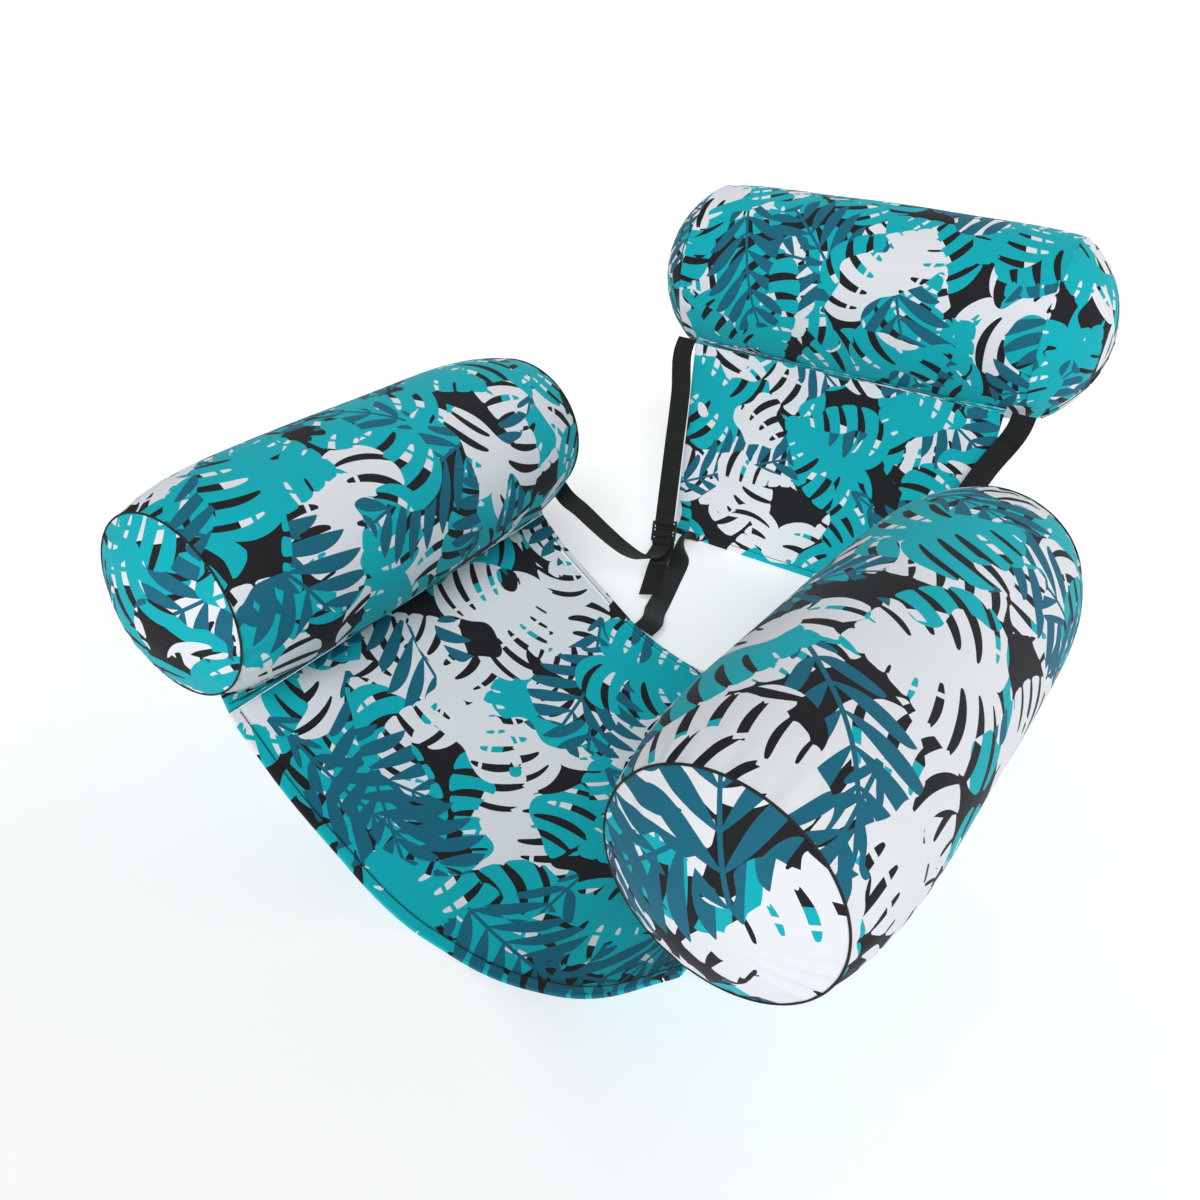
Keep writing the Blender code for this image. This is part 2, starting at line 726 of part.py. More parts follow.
def lock_frame(side):
    """Frame of a ladder lock: X across the webbing, Y up towards the headrest."""
    origin = Vector((side * (ARM_SPACING / 2 - LOCK_IN_FROM_AXIS), ARMS_Y + LOCK_SETBACK,
                     LOCK_HEIGHT))
    up = (head_strap_root(side) - origin).normalized()
    across = Vector((1.0, 0.0, 0.0))
    across = (across - across.dot(up) * up).normalized()
    turn = Matrix((across, up, across.cross(up))).transposed().to_4x4()
    return Matrix.Translation(origin) @ turn


def head_strap_root(side, lead=0.0):
    """Where the head strap is sewn, under the headrest's end seam, or a lead below it."""
    toward = head_toward(HEAD_STRAP_DEGREES)
    inner_edge = 1 - WEBBING_WIDTH / HEADREST.length
    drop = HEADREST.radius(inner_edge) + SEAM_GAP + WEBBING_THICKNESS / 2
    return seam_point(HEADREST, toward, side, drop + lead)


def arm_strap_root(side, lead=0.0):
    """Where the arm strap is sewn, in the arm's rear seam, or a lead out from it."""
    toward = arm_toward(side, STRAP_SEAM_DEGREES)
    at_seam = 1 - 4 * WEBBING_THICKNESS / ARM_SEAM_LENGTH
    out = ARMS[side].radius(at_seam) + SEAM_GAP
    return seam_point(ARMS[side], toward, at_seam, out + lead)


def arm_strap_ring(side):
    """Direction along the arm's end seam where the arm strap is sewn to it."""
    angle = math.radians(STRAP_SEAM_DEGREES)
    return Vector((math.cos(angle), 0.0, -side * math.sin(angle)))


def lock_bar_y(bar):
    """Place of a bar's middle along the lock, counted from the bar nearest the ground."""
    return (bar - (LOCK_BARS - 1) / 2) * LOCK_PITCH


def build_lock(side, title):
    """The ladder lock: two rails joined by four bars, with a slot between each two bars."""
    inner = WEBBING_WIDTH / 2 + LOCK_SIDE_GAP
    outer = inner + LOCK_RAIL
    lines_x = (-outer, -inner, inner, outer)
    lines_y = []
    for bar in range(LOCK_BARS):
        lines_y += [lock_bar_y(bar) - LOCK_BAR / 2, lock_bar_y(bar) + LOCK_BAR / 2]
    bm = bmesh.new()
    down = -LOCK_THICKNESS / 2
    corners = [[bm.verts.new((x, y, down)) for x in lines_x] for y in lines_y]
    faces = []
    for row in range(len(lines_y) - 1):
        for column in range(3):
            is_slot = row % 2 == 1 and column == 1
            if not is_slot:
                faces.append(bm.faces.new((
                    corners[row][column], corners[row][column + 1],
                    corners[row + 1][column + 1], corners[row + 1][column],
                )))
    raised = bmesh.ops.extrude_face_region(bm, geom=faces)["geom"]
    moved = [item for item in raised if isinstance(item, bmesh.types.BMVert)]
    bmesh.ops.translate(bm, verts=moved, vec=(0, 0, LOCK_THICKNESS))
    lock = finish(f"{title}_ladder_lock", bm, "buckle_plastic", smooth=False)
    lock.matrix_world = lock_frame(side)
    edge = lock.modifiers.new("softened_edges", "BEVEL")
    edge.width = LOCK_EDGE
    edge.segments = 1
    edge.limit_method = "ANGLE"


def weave_heights():
    """How far the webbing's middle runs from the lock's middle, over and under a bar."""
    over = LOCK_THICKNESS / 2 + SEAM_GAP + WEBBING_THICKNESS / 2
    return over, over - SEAM_GAP * 2


def build_head_strap(side, title):
    """Webbing from the headrest down through the lock, ending in a free tail."""
    frame = lock_frame(side)
    flat = Vector((1.0, 0.0, 0.0))
    across = frame.to_3x3().col[0].copy()
    hung = across.lerp(flat, 0.5)
    root = head_strap_root(side)
    over, steep = weave_heights()
    drop = (root - frame.translation).length
    stations = [(root, flat), (head_strap_root(side, STRAP_LEAD), flat)]
    for share, lean in zip(HANG_SHARES, (hung, across)):
        stations.append((frame @ Vector((0.0, drop * share, over)), lean))
    weave = [(LOCK_PITCH * share, over * face) for share, face in WEAVE_SHARES]
    weave[2:2] = [(LOCK_PITCH + steep / 2, steep), (LOCK_PITCH - steep / 2, -steep)]
    weave[5:5] = [(steep / 2, -steep), (-steep / 2, steep)]
    slot = LOCK_PITCH * TAIL_SLOT_SHARE
    weave += [(slot + steep / 4, steep), (slot - steep / 4, -steep)]
    weave.append((lock_bar_y(0) + LOCK_BAR, -TAIL_BEHIND_LOOP))
    stations += [(frame @ Vector((0.0, y, z)), across) for y, z in weave]
    last = stations[-1][0]
    end = last + Vector((-side * TAIL_INWARD, -TAIL_REACH, 0.0))
    end.z = TAIL_END_HEIGHT
    middle = last.lerp(end, TAIL_SHARE)
    middle.z = last.z * TAIL_HEIGHT_SHARE
    stations += [(middle, across), (end, across)]
    build_strap(f"{title}_head_strap", stations)


def build_arm_strap(side, title):
    """Webbing from the arm's rear seam, hanging slack, looped up round the lock's last bar."""
    frame = lock_frame(side)
    across = frame.to_3x3().col[0].copy()
    over, steep = (height + LOOP_EASE for height in weave_heights())
    lap = WEBBING_THICKNESS / 2 + SEAM_GAP
    leave, shoulder, turn = (LOCK_PITCH * share for share in LOOP_TURN_SHARES)
    loop = [
        (-LOOP_LAP, -lap), (-leave, -steep), (0.0, -over), (shoulder, -steep), (turn, 0.0),
        (shoulder, steep), (0.0, over), (-leave, steep), (-LOOP_RETURN, lap),
    ]
    bar = Matrix.Translation((0.0, lock_bar_y(0), 0.0))
    turned = frame @ bar @ Matrix.Rotation(-math.radians(LOOP_TURN_DEGREES), 4, "X")
    looped = [(turned @ Vector((0.0, y, z)), across) for y, z in loop]
    root = arm_strap_root(side, STRAP_LEAD)
    ring = arm_strap_ring(side)
    stations = [(arm_strap_root(side), ring), (root, ring)]
    near = looped[0][0]
    pulls = [Vector((side * x, y, z)) for x, y, z in (ARM_STRAP_ARRIVE, ARM_STRAP_LEAVE)]
    corners = [root, root + pulls[0], near + pulls[1], near]
    for share in HANG_STEPS:
        first, second, third = (a.lerp(b, share) for a, b in zip(corners, corners[1:]))
        hang = first.lerp(second, share).lerp(second.lerp(third, share), share)
        stations.append((hang, ring.lerp(across, share)))
    build_strap(f"{title}_arm_strap", stations + looped)


def build_link_strap(side, title):
    """Webbing from the seat's rear hem to the lower corner of the back panel."""
    fold = seat_fold(side, SEAT_REAR_Y)
    seat_x = side * sling_across(side, LINK_SEAT_HEIGHT, fold)
    back_x = side * (BACK_WIDTH / 2 - LINK_BACK_INSET)
    foot_y = BACK_FOOT_Y - HEM_THICKNESS / 2 - 2 * FOLD_GAP
    height, slope = sling_climb(side, abs(seat_x), fold)
    front = Vector((seat_x, SEAT_REAR_Y + LINK_GAP, height + CLOTH_THICKNESS / 2))
    rear = Vector((back_x, foot_y, HEM_THICKNESS))
    span = rear - front
    straight = Vector((0.0, LOOP_LAP, 0.0))
    flat = Vector((1.0, 0.0, 0.0))
    tilted = Vector((1.0, 0.0, side * slope * LINK_TILT_SHARE)).normalized()
    stations = [(front, tilted), (front + straight, tilted)]
    for share in LINK_SHARES:
        bow = math.sin(math.pi * share)
        centre = front + span * share + Vector((side * LINK_BOW * bow, 0.0, -LINK_SAG * bow))
        stations.append((centre, tilted.lerp(flat, share)))
    stations += [(rear - straight, flat), (rear, flat)]
    build_strap(f"{title}_link_strap", stations, steps=4)


for each in (*ARMS.values(), HEADREST):
    build_cover(each)
    build_bladder(each)
    build_valve(each)
    build_zip(each)

for sign, word in ((-1, "left"), (1, "right")):
    build_flap(
        f"{word}_arm_seat_seam", ARMS[sign], arm_toward(sign, SEAT_SEAM_DEGREES[sign]),
        arm_share(sign, SEAT_FRONT_Y), arm_share(sign, SEAT_REAR_Y),
    )
    build_lock(sign, word)
    build_head_strap(sign, word)
    build_arm_strap(sign, word)
    build_link_strap(sign, word)

half_share = BACK_WIDTH / HEAD_SEAM_LENGTH
build_flap(
    "headrest_back_seam", HEADREST, head_toward(BACK_SEAM_DEGREES), -half_share, half_share,
)
build_seat()
build_back()
bpy.context.view_layer.update()
for made in bpy.data.objects:
    low = min((made.matrix_world @ vertex.co).z for vertex in made.data.vertices)
    if low < -SEAM_GAP:
        print(made.name, "reaches below the ground by", round(-low * 1000, 2), "mm")
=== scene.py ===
# %% [markdown]
# # An inflatable pool chair
#
# The chair is three printed cloth bolsters with an air bladder in each, a cloth sling for a seat,
# a short cloth back, and black webbing that ties the two halves together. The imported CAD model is
# the frame that everything here hangs on. The hard pieces of the frame stay and get a finish. The
# soft ones are made again here as cloth, film and webbing, in the same places.

# %% Load the frame
import math

import bmesh
import bpy
import numpy as np
from mathutils import Matrix, Vector


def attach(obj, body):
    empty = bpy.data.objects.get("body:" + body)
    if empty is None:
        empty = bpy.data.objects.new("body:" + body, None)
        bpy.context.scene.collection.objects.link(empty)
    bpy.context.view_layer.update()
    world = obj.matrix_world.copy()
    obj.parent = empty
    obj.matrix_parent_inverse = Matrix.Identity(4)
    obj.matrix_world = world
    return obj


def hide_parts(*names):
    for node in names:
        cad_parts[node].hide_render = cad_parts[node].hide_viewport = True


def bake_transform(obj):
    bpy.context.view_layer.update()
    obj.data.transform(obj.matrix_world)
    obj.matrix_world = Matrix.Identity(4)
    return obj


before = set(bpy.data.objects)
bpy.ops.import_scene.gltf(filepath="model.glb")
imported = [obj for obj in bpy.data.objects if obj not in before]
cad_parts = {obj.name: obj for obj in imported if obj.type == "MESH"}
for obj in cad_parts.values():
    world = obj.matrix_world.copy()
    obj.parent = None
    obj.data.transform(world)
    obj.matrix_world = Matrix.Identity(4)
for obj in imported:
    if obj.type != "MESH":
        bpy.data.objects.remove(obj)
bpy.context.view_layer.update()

# %% [markdown]
# ## Camera
#
# The photograph was taken from the front and right, from well above. The place of the camera
# comes from the outlines of the three bolsters, which are simple shapes whose size is known: the
# lens, the two angles and a slight roll were fitted to them. The place is measured in metres from
# the middle of the chair's footprint.

# %% Place the camera
LENS_MM = 29.9
SENSOR_MM = 36.0
CAMERA_PLACE = (0.44926, -0.95297, 0.73859)
CAMERA_AZIMUTH = 0.56267
CAMERA_ELEVATION = 0.54477
CAMERA_ROLL = 0.051935


def place_camera():
    """Camera axes from azimuth, elevation and roll: forward, then right, then up."""
    azimuth, elevation = CAMERA_AZIMUTH, CAMERA_ELEVATION
    forward = Vector((
        -math.sin(azimuth) * math.cos(elevation),
        math.cos(azimuth) * math.cos(elevation),
        -math.sin(elevation),
    ))
    level = Vector((math.cos(azimuth), math.sin(azimuth), 0.0))
    upward = level.cross(forward)
    right = level * math.cos(CAMERA_ROLL) + upward * math.sin(CAMERA_ROLL)
    up = upward * math.cos(CAMERA_ROLL) - level * math.sin(CAMERA_ROLL)
    lens = bpy.data.cameras.new("studio_camera")
    lens.lens = LENS_MM
    lens.sensor_width = SENSOR_MM
    camera = bpy.data.objects.new("studio_camera", lens)
    turn = Matrix((right, up, -forward)).transposed().to_4x4()
    camera.matrix_world = Matrix.Translation(CAMERA_PLACE) @ turn
    bpy.context.scene.collection.objects.link(camera)
    bpy.context.scene.camera = camera
    return camera


print("camera:", place_camera().name, "lens", LENS_MM, "mm")

# %% [markdown]
# ## Surfaces from numpy grids
#
# Every new piece is a surface over a grid of points. A grid can close on itself sideways, as a
# tube does, and its first row can shrink to one point, as the middle of a domed panel does. One
# function turns such a grid into a mesh with texture coordinates, so the shape functions below
# only have to say where each point goes.

# %% Turn a grid into a mesh
WELD_DISTANCE = 0.00002
SHORTEST = 1e-12


def grid(*parts):
    """Points from their coordinates, which may be numbers, rows, columns or whole grids."""
    return np.stack(np.broadcast_arrays(*parts), axis=-1)


def meshed(name, points, faces, corner_flat=None):
    """Mesh from points and lists of corners, with texture coordinates corner by corner."""
    mesh = bpy.data.meshes.new(name)
    mesh.from_pydata(points.reshape(-1, 3), [], faces)
    if corner_flat is not None:
        layer = mesh.uv_layers.new(name="cloth")
        layer.uv.foreach_set("vector", corner_flat.astype(np.float32).reshape(-1))
    mesh.shade_smooth()
    made = bpy.data.objects.new(name, mesh)
    bpy.context.scene.collection.objects.link(made)
    return made


def surface(name, points, flat, wrap=False, pole=False, flip=False):
    """Mesh from a grid of points (rows, columns, 3) with texture coordinates.

    wrap joins the last column to the first, and flat then has one column more than points.
    pole shrinks the first row to one point. flip turns the faces over.
    """
    rows, columns = points.shape[:2]
    across = columns + 1 if wrap else columns
    row, column = np.meshgrid(np.arange(rows - 1), np.arange(across - 1), indexing="ij")
    near, far = row * across + column, (row + 1) * across + column
    corners = grid(near, near + 1, far + 1, far)
    vertex = np.arange(rows)[:, None] * columns + np.arange(across)[None, :] % columns
    if pole:
        vertex = np.maximum(vertex - columns + 1, 0)
        points = points.reshape(-1, 3)[columns - 1:]
    vertex = vertex.reshape(-1)
    fans = corners[0][:, (0, 2, 3)] if pole else np.zeros((0, 3), int)
    quads = corners[1 if pole else 0:].reshape(-1, 4)
    if flip:
        fans, quads = fans[:, ::-1], quads[:, ::-1]
    order = np.concatenate((fans.reshape(-1), quads.reshape(-1)))
    faces = vertex[fans].tolist() + vertex[quads].tolist()
    return meshed(name, points, faces, flat.reshape(-1, 2)[order])


def normalised(vectors):
    """Each vector divided by its own length."""
    return vectors / np.maximum(np.linalg.norm(vectors, axis=-1, keepdims=True), SHORTEST)


def eased(t):
    """A soft step from 0 to 1, level at both ends."""
    return t * t * (3 - 2 * t)


def run_of(path):
    """Distance along a path, point by point."""
    return np.concatenate(((0.0,), np.cumsum(np.linalg.norm(np.diff(path, axis=0), axis=1))))


def between(wanted, places, points):
    """Points at wanted places among points whose places are given."""
    return np.stack([np.interp(wanted, places, points[:, axis]) for axis in range(3)], axis=-1)


def welded(piece):
    """Merge the corners of a mesh that lie on each other, where a grid closed on itself."""
    builder = bmesh.new()
    builder.from_mesh(piece.data)
    bmesh.ops.remove_doubles(builder, verts=builder.verts, dist=WELD_DISTANCE)
    builder.to_mesh(piece.data)
    builder.free()
    piece.data.shade_smooth()
    return piece


def dressed(piece, finish, body, node=None):
    """Give a piece its finish, let it ride on a body, and hide the node that it stands for."""
    piece.data.materials.append(finish)
    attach(piece, body)
    if node:
        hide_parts(node)
    return piece


def blown_up(piece, finish, body, slot, wall, node):
    """Dress a surface as a thin wall that air holds out, with the wall inside the surface."""
    shell = piece.modifiers.new("cloth_wall", "SOLIDIFY")
    shell.thickness = wall
    shell.offset = -1.0
    dressed(piece, finish, body, node)


print("a grid of 3 by 3 points makes", (3 - 1) ** 2, "faces")

# %% [markdown]
# ## Finishes
#
# Colours are written as the hex values that a paint shop would use and are turned to linear light
# by one function. One more function adds a node with its settings and its links. A pattern that is
# worked out step by step, like a leaf, is a table of sums: each row names a result, an operation
# and what goes in.

# %% Helpers for node materials
def linear(hex_colour):
    """sRGB hex to linear: c / 12.92 when dark, otherwise ((c + 0.055) / 1.055) to the 2.4."""
    channels = [int(hex_colour[place:place + 2], 16) / 255 for place in (1, 3, 5)]
    levels = [c / 12.92 if c <= 0.04045 else ((c + 0.055) / 1.055) ** 2.4 for c in channels]
    return (*levels, 1.0)


def add(tree, kind, inputs=None, **settings):
    """Add a node, set its properties, and link or set its inputs by name or number."""
    node = tree.nodes.new("ShaderNode" + kind)
    for key, value in settings.items():
        setattr(node, key, value)
    for key, value in (inputs or {}).items():
        if isinstance(value, bpy.types.NodeSocket):
            tree.links.new(value, node.inputs[key])
        else:
            node.inputs[key].default_value = value
    return node


def work_out(tree, table, known):
    """Turn a table of sums into Math nodes; known holds the results by name."""
    for name, operation, *inputs in table:
        values = {place: known.get(value, value) for place, value in enumerate(inputs)}
        if operation == "RANDOM":
            node = add(tree, "TexWhiteNoise", {"W": values[0]}, noise_dimensions="1D")
        else:
            node = add(tree, "Math", values, operation=operation)
        known[name] = node.outputs[0]
    return known


def finish(name, colour, roughness, **sockets):
    """A Principled material with its plain values set on the shader's own sockets."""
    made = bpy.data.materials.new(name)
    made.use_nodes = True
    shader = made.node_tree.nodes["Principled BSDF"]
    shader.inputs["Base Color"].default_value = linear(colour)
    shader.inputs["Roughness"].default_value = roughness
    for key, value in sockets.items():
        shader.inputs[key.replace("_", " ")].default_value = value
    return made, made.node_tree, shader


print("linear teal:", [round(c, 3) for c in linear("#04B0BC")])

# %% [markdown]
# ## Printed polyester cloth
#
# The covers are thin woven polyester with a dense tropical print: broad split leaves in teal and
# white over near-black, with petrol blue palm fronds across them. Printing is flat colour, so the
# pattern is drawn as flat shapes. A leaf is a heart outline cut by slits that follow its side
# veins. Each layer of the print is a grid of squares with one leaf in each, turned and shifted by
# chance, and the layers are laid over each other as a printer would, darkest first.

# %% Formulas of the two leaves
LEAF_HALF_HEIGHT = 0.36
LEAF_HALF_WIDTH = 0.42
LEAF_NOTCH = 0.70
LEAF_TABLE = (
    ("off_rib", "ABSOLUTE", "x"),
    ("share", "DIVIDE", "off_rib", LEAF_HALF_WIDTH),
    ("root", "POWER", "share", 0.5),
    ("high", "DIVIDE", "y", LEAF_HALF_HEIGHT),
    ("lifted", "MULTIPLY_ADD", "root", -LEAF_NOTCH, "high"),
    ("lifted_squared", "MULTIPLY", "lifted", "lifted"),
    ("rim", "MULTIPLY_ADD", "share", "share", "lifted_squared"),
    ("bend", "MULTIPLY_ADD", "share", 0.75, -0.12),
    ("drop", "MULTIPLY_ADD", "share", "bend", "high"),
    ("fan", "MULTIPLY_ADD", "share", 0.85, 1.0),
    ("vein", "DIVIDE", "drop", "fan"),
    ("count", "MULTIPLY_ADD", "vein", 4.2, 0.35),
    ("near", "PINGPONG", "count", 0.5),
    ("row", "ROUND", "count"),
    ("side", "SIGN", "x"),
    ("side_key", "MULTIPLY_ADD", "side", 0.37, "seed"),
    ("row_key", "MULTIPLY_ADD", "row", 1.71, "side_key"),
    ("luck", "RANDOM", "row_key"),
    ("start", "MULTIPLY_ADD", "luck", 0.16, 0.15),
    ("past", "SUBTRACT", "share", "start"),
    ("opened", "GREATER_THAN", "past", 0.0),
    ("past_start", "MAXIMUM", "past", 0.0),
    ("opening", "POWER", "past_start", 0.38),
    ("left", "SUBTRACT", 1.15, "rim"),
    ("left_over", "MAXIMUM", "left", 0.0),
    ("tail", "POWER", "left_over", 0.8),
    ("drawn", "MULTIPLY", "opening", "tail"),
    ("half", "MULTIPLY_ADD", "drawn", 0.33, 0.020),
    ("narrow", "LESS_THAN", "near", "half"),
    ("slit", "MULTIPLY", "narrow", "opened"),
    ("bridge_place", "ADD", "start", 0.13),
    ("bridge", "COMPARE", "share", "bridge_place", 0.026),
    ("has_bridge", "GREATER_THAN", "luck", 0.35),
    ("bridged", "MULTIPLY", "bridge", "has_bridge"),
    ("open", "SUBTRACT", "slit", "bridged"),
    ("cut", "MAXIMUM", "open", 0.0),
    ("pinch", "MULTIPLY_ADD", "near", -3.2, 1.0),
    ("pinched", "MAXIMUM", "pinch", 0.0),
    ("pinch_squared", "MULTIPLY", "pinched", "pinched"),
    ("scalloped", "MULTIPLY_ADD", "pinch_squared", 0.12, "rim"),
    ("inside", "LESS_THAN", "scalloped", 1.0),
    ("shown", "MULTIPLY", "inside", "present"),
    ("open_cut", "MULTIPLY", "cut", "shown"),
    ("is_white", "LESS_THAN", "hue", "white_share"),
    ("limit", "MULTIPLY_ADD", "is_white", 0.40, 0.30),
    ("pale_row", "GREATER_THAN", "luck", "limit"),
    ("inner_end", "ADD", "start", 0.30),
    ("inner", "LESS_THAN", "share", "inner_end"),
    ("see_through", "MULTIPLY", "pale_row", "inner"),
)
PALM_TABLE = (
    ("off_rib", "ABSOLUTE", "x"),
    ("fall", "MULTIPLY_ADD", "off_rib", 1.3, -1.15),
    ("leant", "MULTIPLY_ADD", "off_rib", "fall", "y"),
    ("count", "MULTIPLY", "leant", 9.0),
    ("near", "PINGPONG", "count", 0.5),
    ("leant_squared", "MULTIPLY", "leant", "leant"),
    ("taper", "MULTIPLY_ADD", "leant_squared", -1.15, 0.285),
    ("reach", "MAXIMUM", "taper", 0.02),
    ("along", "DIVIDE", "off_rib", "reach"),
    ("rest", "SUBTRACT", 1.0, "along"),
    ("belly", "MULTIPLY", "along", "rest"),
    ("half", "MULTIPLY_ADD", "belly", 1.45, 0.02),
    ("blade", "LESS_THAN", "near", "half"),
    ("in_reach", "LESS_THAN", "along", 1.0),
    ("leaflet", "MULTIPLY", "blade", "in_reach"),
    ("rib", "LESS_THAN", "off_rib", 0.008),
    ("either", "MAXIMUM", "leaflet", "rib"),
    ("height", "ABSOLUTE", "y"),
    ("in_height", "LESS_THAN", "height", 0.47),
    ("whole", "MULTIPLY", "either", "in_height"),
    ("body", "MULTIPLY", "whole", "present"),
)
print("a split leaf takes", len(LEAF_TABLE), "sums and a palm frond", len(PALM_TABLE))

# %% Lay the layers of the print
INK, TEAL, WHITE, PETROL = "#1E1E22", "#04B0BC", "#E6E9EE", "#186880"
WARP_WAVELENGTH = 0.09
WARP_REACH = 0.006
WARP_CENTRE = 0.5
LEAF_SHIFT = 0.06
CELL_JITTER = 0.06
# Layers from the cloth up: motif, size of its square in metres, turn, shift, share of squares used,
# share of the leaves that are white
PRINT_LAYERS = (
    ("leaf", 0.205, 0.30, (0.10, 0.20), 1.00, 0.62),
    ("leaf", 0.205, 0.30, (0.60, 0.70), 1.00, 0.35),
    ("palm", 0.240, 0.90, (0.30, 0.10), 0.60, 0.00),
    ("leaf", 0.200, 1.10, (0.35, 0.80), 0.72, 0.38),
    ("palm", 0.230, 0.20, (0.80, 0.45), 0.52, 0.00),
)


def print_squares(tree, cloth, layer, number):
    """Where a point lies in its own square of a layer, turned by that square's chance."""
    size, turn, shift, share, white_share = layer[1:]
    squares = add(tree, "Mapping", {
        "Vector": cloth, "Scale": (1 / size, 1 / size, 1.0), "Rotation": (0.0, 0.0, turn),
        "Location": (shift[0], shift[1], number),
    }).outputs[0]
    square = add(tree, "VectorMath", {0: squares}, operation="FLOOR").outputs[0]
    chance = add(tree, "TexWhiteNoise", {"Vector": square}, noise_dimensions="3D")
    place = add(tree, "VectorMath", {0: squares}, operation="FRACTION").outputs[0]
    nudge = add(tree, "VectorMath", {
        0: chance.outputs["Color"], 1: (-CELL_JITTER,) * 3, 2: place,
    }, operation="MULTIPLY_ADD").outputs[0]
    middle = add(tree, "VectorMath", {
        0: nudge, 1: ((1 - CELL_JITTER) / 2, (1 - CELL_JITTER) / 2, 0.0),
    }, operation="SUBTRACT").outputs[0]
    angle = add(tree, "Math", {0: chance.outputs["Value"], 1: math.tau}, operation="MULTIPLY")
    turned = add(tree, "VectorRotate", {"Vector": middle, "Angle": angle.outputs[0]},
                 rotation_type="Z_AXIS").outputs[0]
    x, y = add(tree, "SeparateXYZ", {0: turned}).outputs[:2]
    second, third, fourth = add(tree, "SeparateColor", {0: chance.outputs["Color"]}).outputs
    present = add(tree, "Math", {0: second, 1: share}, operation="LESS_THAN").outputs[0]
    return {"x": x, "y": y, "seed": third, "hue": fourth, "present": present,
            "white_share": white_share}


def leaf_print(tree, cloth):
    """The whole print over texture coordinates in metres, as one colour socket."""
    wave = add(tree, "TexNoise", {"Vector": cloth, "Scale": 1 / WARP_WAVELENGTH, "Detail": 1.0})
    centred = add(tree, "VectorMath", {
        0: wave.outputs["Color"], 1: (WARP_CENTRE,) * 3,
    }, operation="SUBTRACT").outputs[0]
    warped = add(tree, "VectorMath", {
        0: centred, 1: (WARP_REACH,) * 3, 2: cloth,
    }, operation="MULTIPLY_ADD").outputs[0]
    colour = linear(INK)
    for number, layer in enumerate(PRINT_LAYERS):
        known = print_squares(tree, warped, layer, float(number))
        if layer[0] == "palm":
            work_out(tree, PALM_TABLE, known)
            colour = add(tree, "Mix", {"Factor": known["body"], 6: colour, 7: linear(PETROL)},
                         data_type="RGBA").outputs[2]
            continue
        known["y"] = add(tree, "Math", {0: known["y"], 1: LEAF_SHIFT}, operation="ADD").outputs[0]
        work_out(tree, LEAF_TABLE, known)
        paint, opposite = (
            add(tree, "Mix", {"Factor": known["is_white"], 6: linear(first), 7: linear(second)},
                data_type="RGBA").outputs[2]
            for first, second in ((TEAL, WHITE), (WHITE, TEAL))
        )
        through = add(tree, "Mix", {"Factor": known["see_through"], 6: linear(INK), 7: opposite},
                      data_type="RGBA").outputs[2]
        for mask, over in (("shown", paint), ("open_cut", through)):
            colour = add(tree, "Mix", {"Factor": known[mask], 6: colour, 7: over},
                         data_type="RGBA").outputs[2]
    return colour


# Real threads are about 0.3 mm apart, too fine to show, so the weave is drawn 1.1 mm apart. Creases
# are about 50 mm apart, as on the chair.
THREAD_PITCH, THREAD_RELIEF = 0.0011, 0.00006
CREASE_WAVELENGTH, CREASE_RELIEF = 0.05, 0.0009
CLOTH_RELIEF_SHARE = 0.35


def printed_cloth():
    """Woven polyester, dye printed: flat colours, a soft sheen, and a fine plain weave."""
    made, tree, shader = finish("printed_polyester", TEAL, 0.78, IOR=1.5, Specular_IOR_Level=0.22,
                                Sheen_Weight=0.04, Sheen_Roughness=0.4)
    cloth = add(tree, "UVMap", uv_map="cloth").outputs[0]
    tree.links.new(leaf_print(tree, cloth), shader.inputs["Base Color"])
    threads = add(tree, "VectorMath", {0: cloth, 1: (math.pi / THREAD_PITCH,) * 3},
                  operation="MULTIPLY").outputs[0]
    waves = add(tree, "VectorMath", {0: threads}, operation="SINE").outputs[0]
    warp, weft = add(tree, "SeparateXYZ", {0: waves}).outputs[:2]
    weave = add(tree, "Math", {0: warp, 1: weft}, operation="MULTIPLY").outputs[0]
    crease = add(tree, "TexNoise", {"Vector": cloth, "Scale": 1 / CREASE_WAVELENGTH, "Detail": 3.0})
    fine = add(tree, "Bump", {
        "Height": weave, "Distance": THREAD_RELIEF, "Strength": CLOTH_RELIEF_SHARE,
    })
    broad = add(tree, "Bump", {
        "Height": crease.outputs[0], "Distance": CREASE_RELIEF, "Strength": CLOTH_RELIEF_SHARE,
        "Normal": fine.outputs[0],
    })
    tree.links.new(broad.outputs[0], shader.inputs["Normal"])
    return made


CLOTH = printed_cloth()
print("print:", len(CLOTH.node_tree.nodes), "nodes")

# %% Webbing, film, plastic and metal
# Ribs 1.6 mm apart along the webbing, crossed every 2.2 mm, which is as coarse as such webbing is
RIB_PITCH, CROSS_PITCH, WEBBING_RELIEF = 0.0016, 0.0022, 0.0004
# Clouds in the colour of moulded plastic are about 11 mm across. Its grain is really below 0.1 mm,
# too fine to show, and is drawn at the size that each finish names.
CLOUD_SIZE = 1 / 90
PORE_RELIEF, GLOSS_SPREAD = 0.00008, 0.08


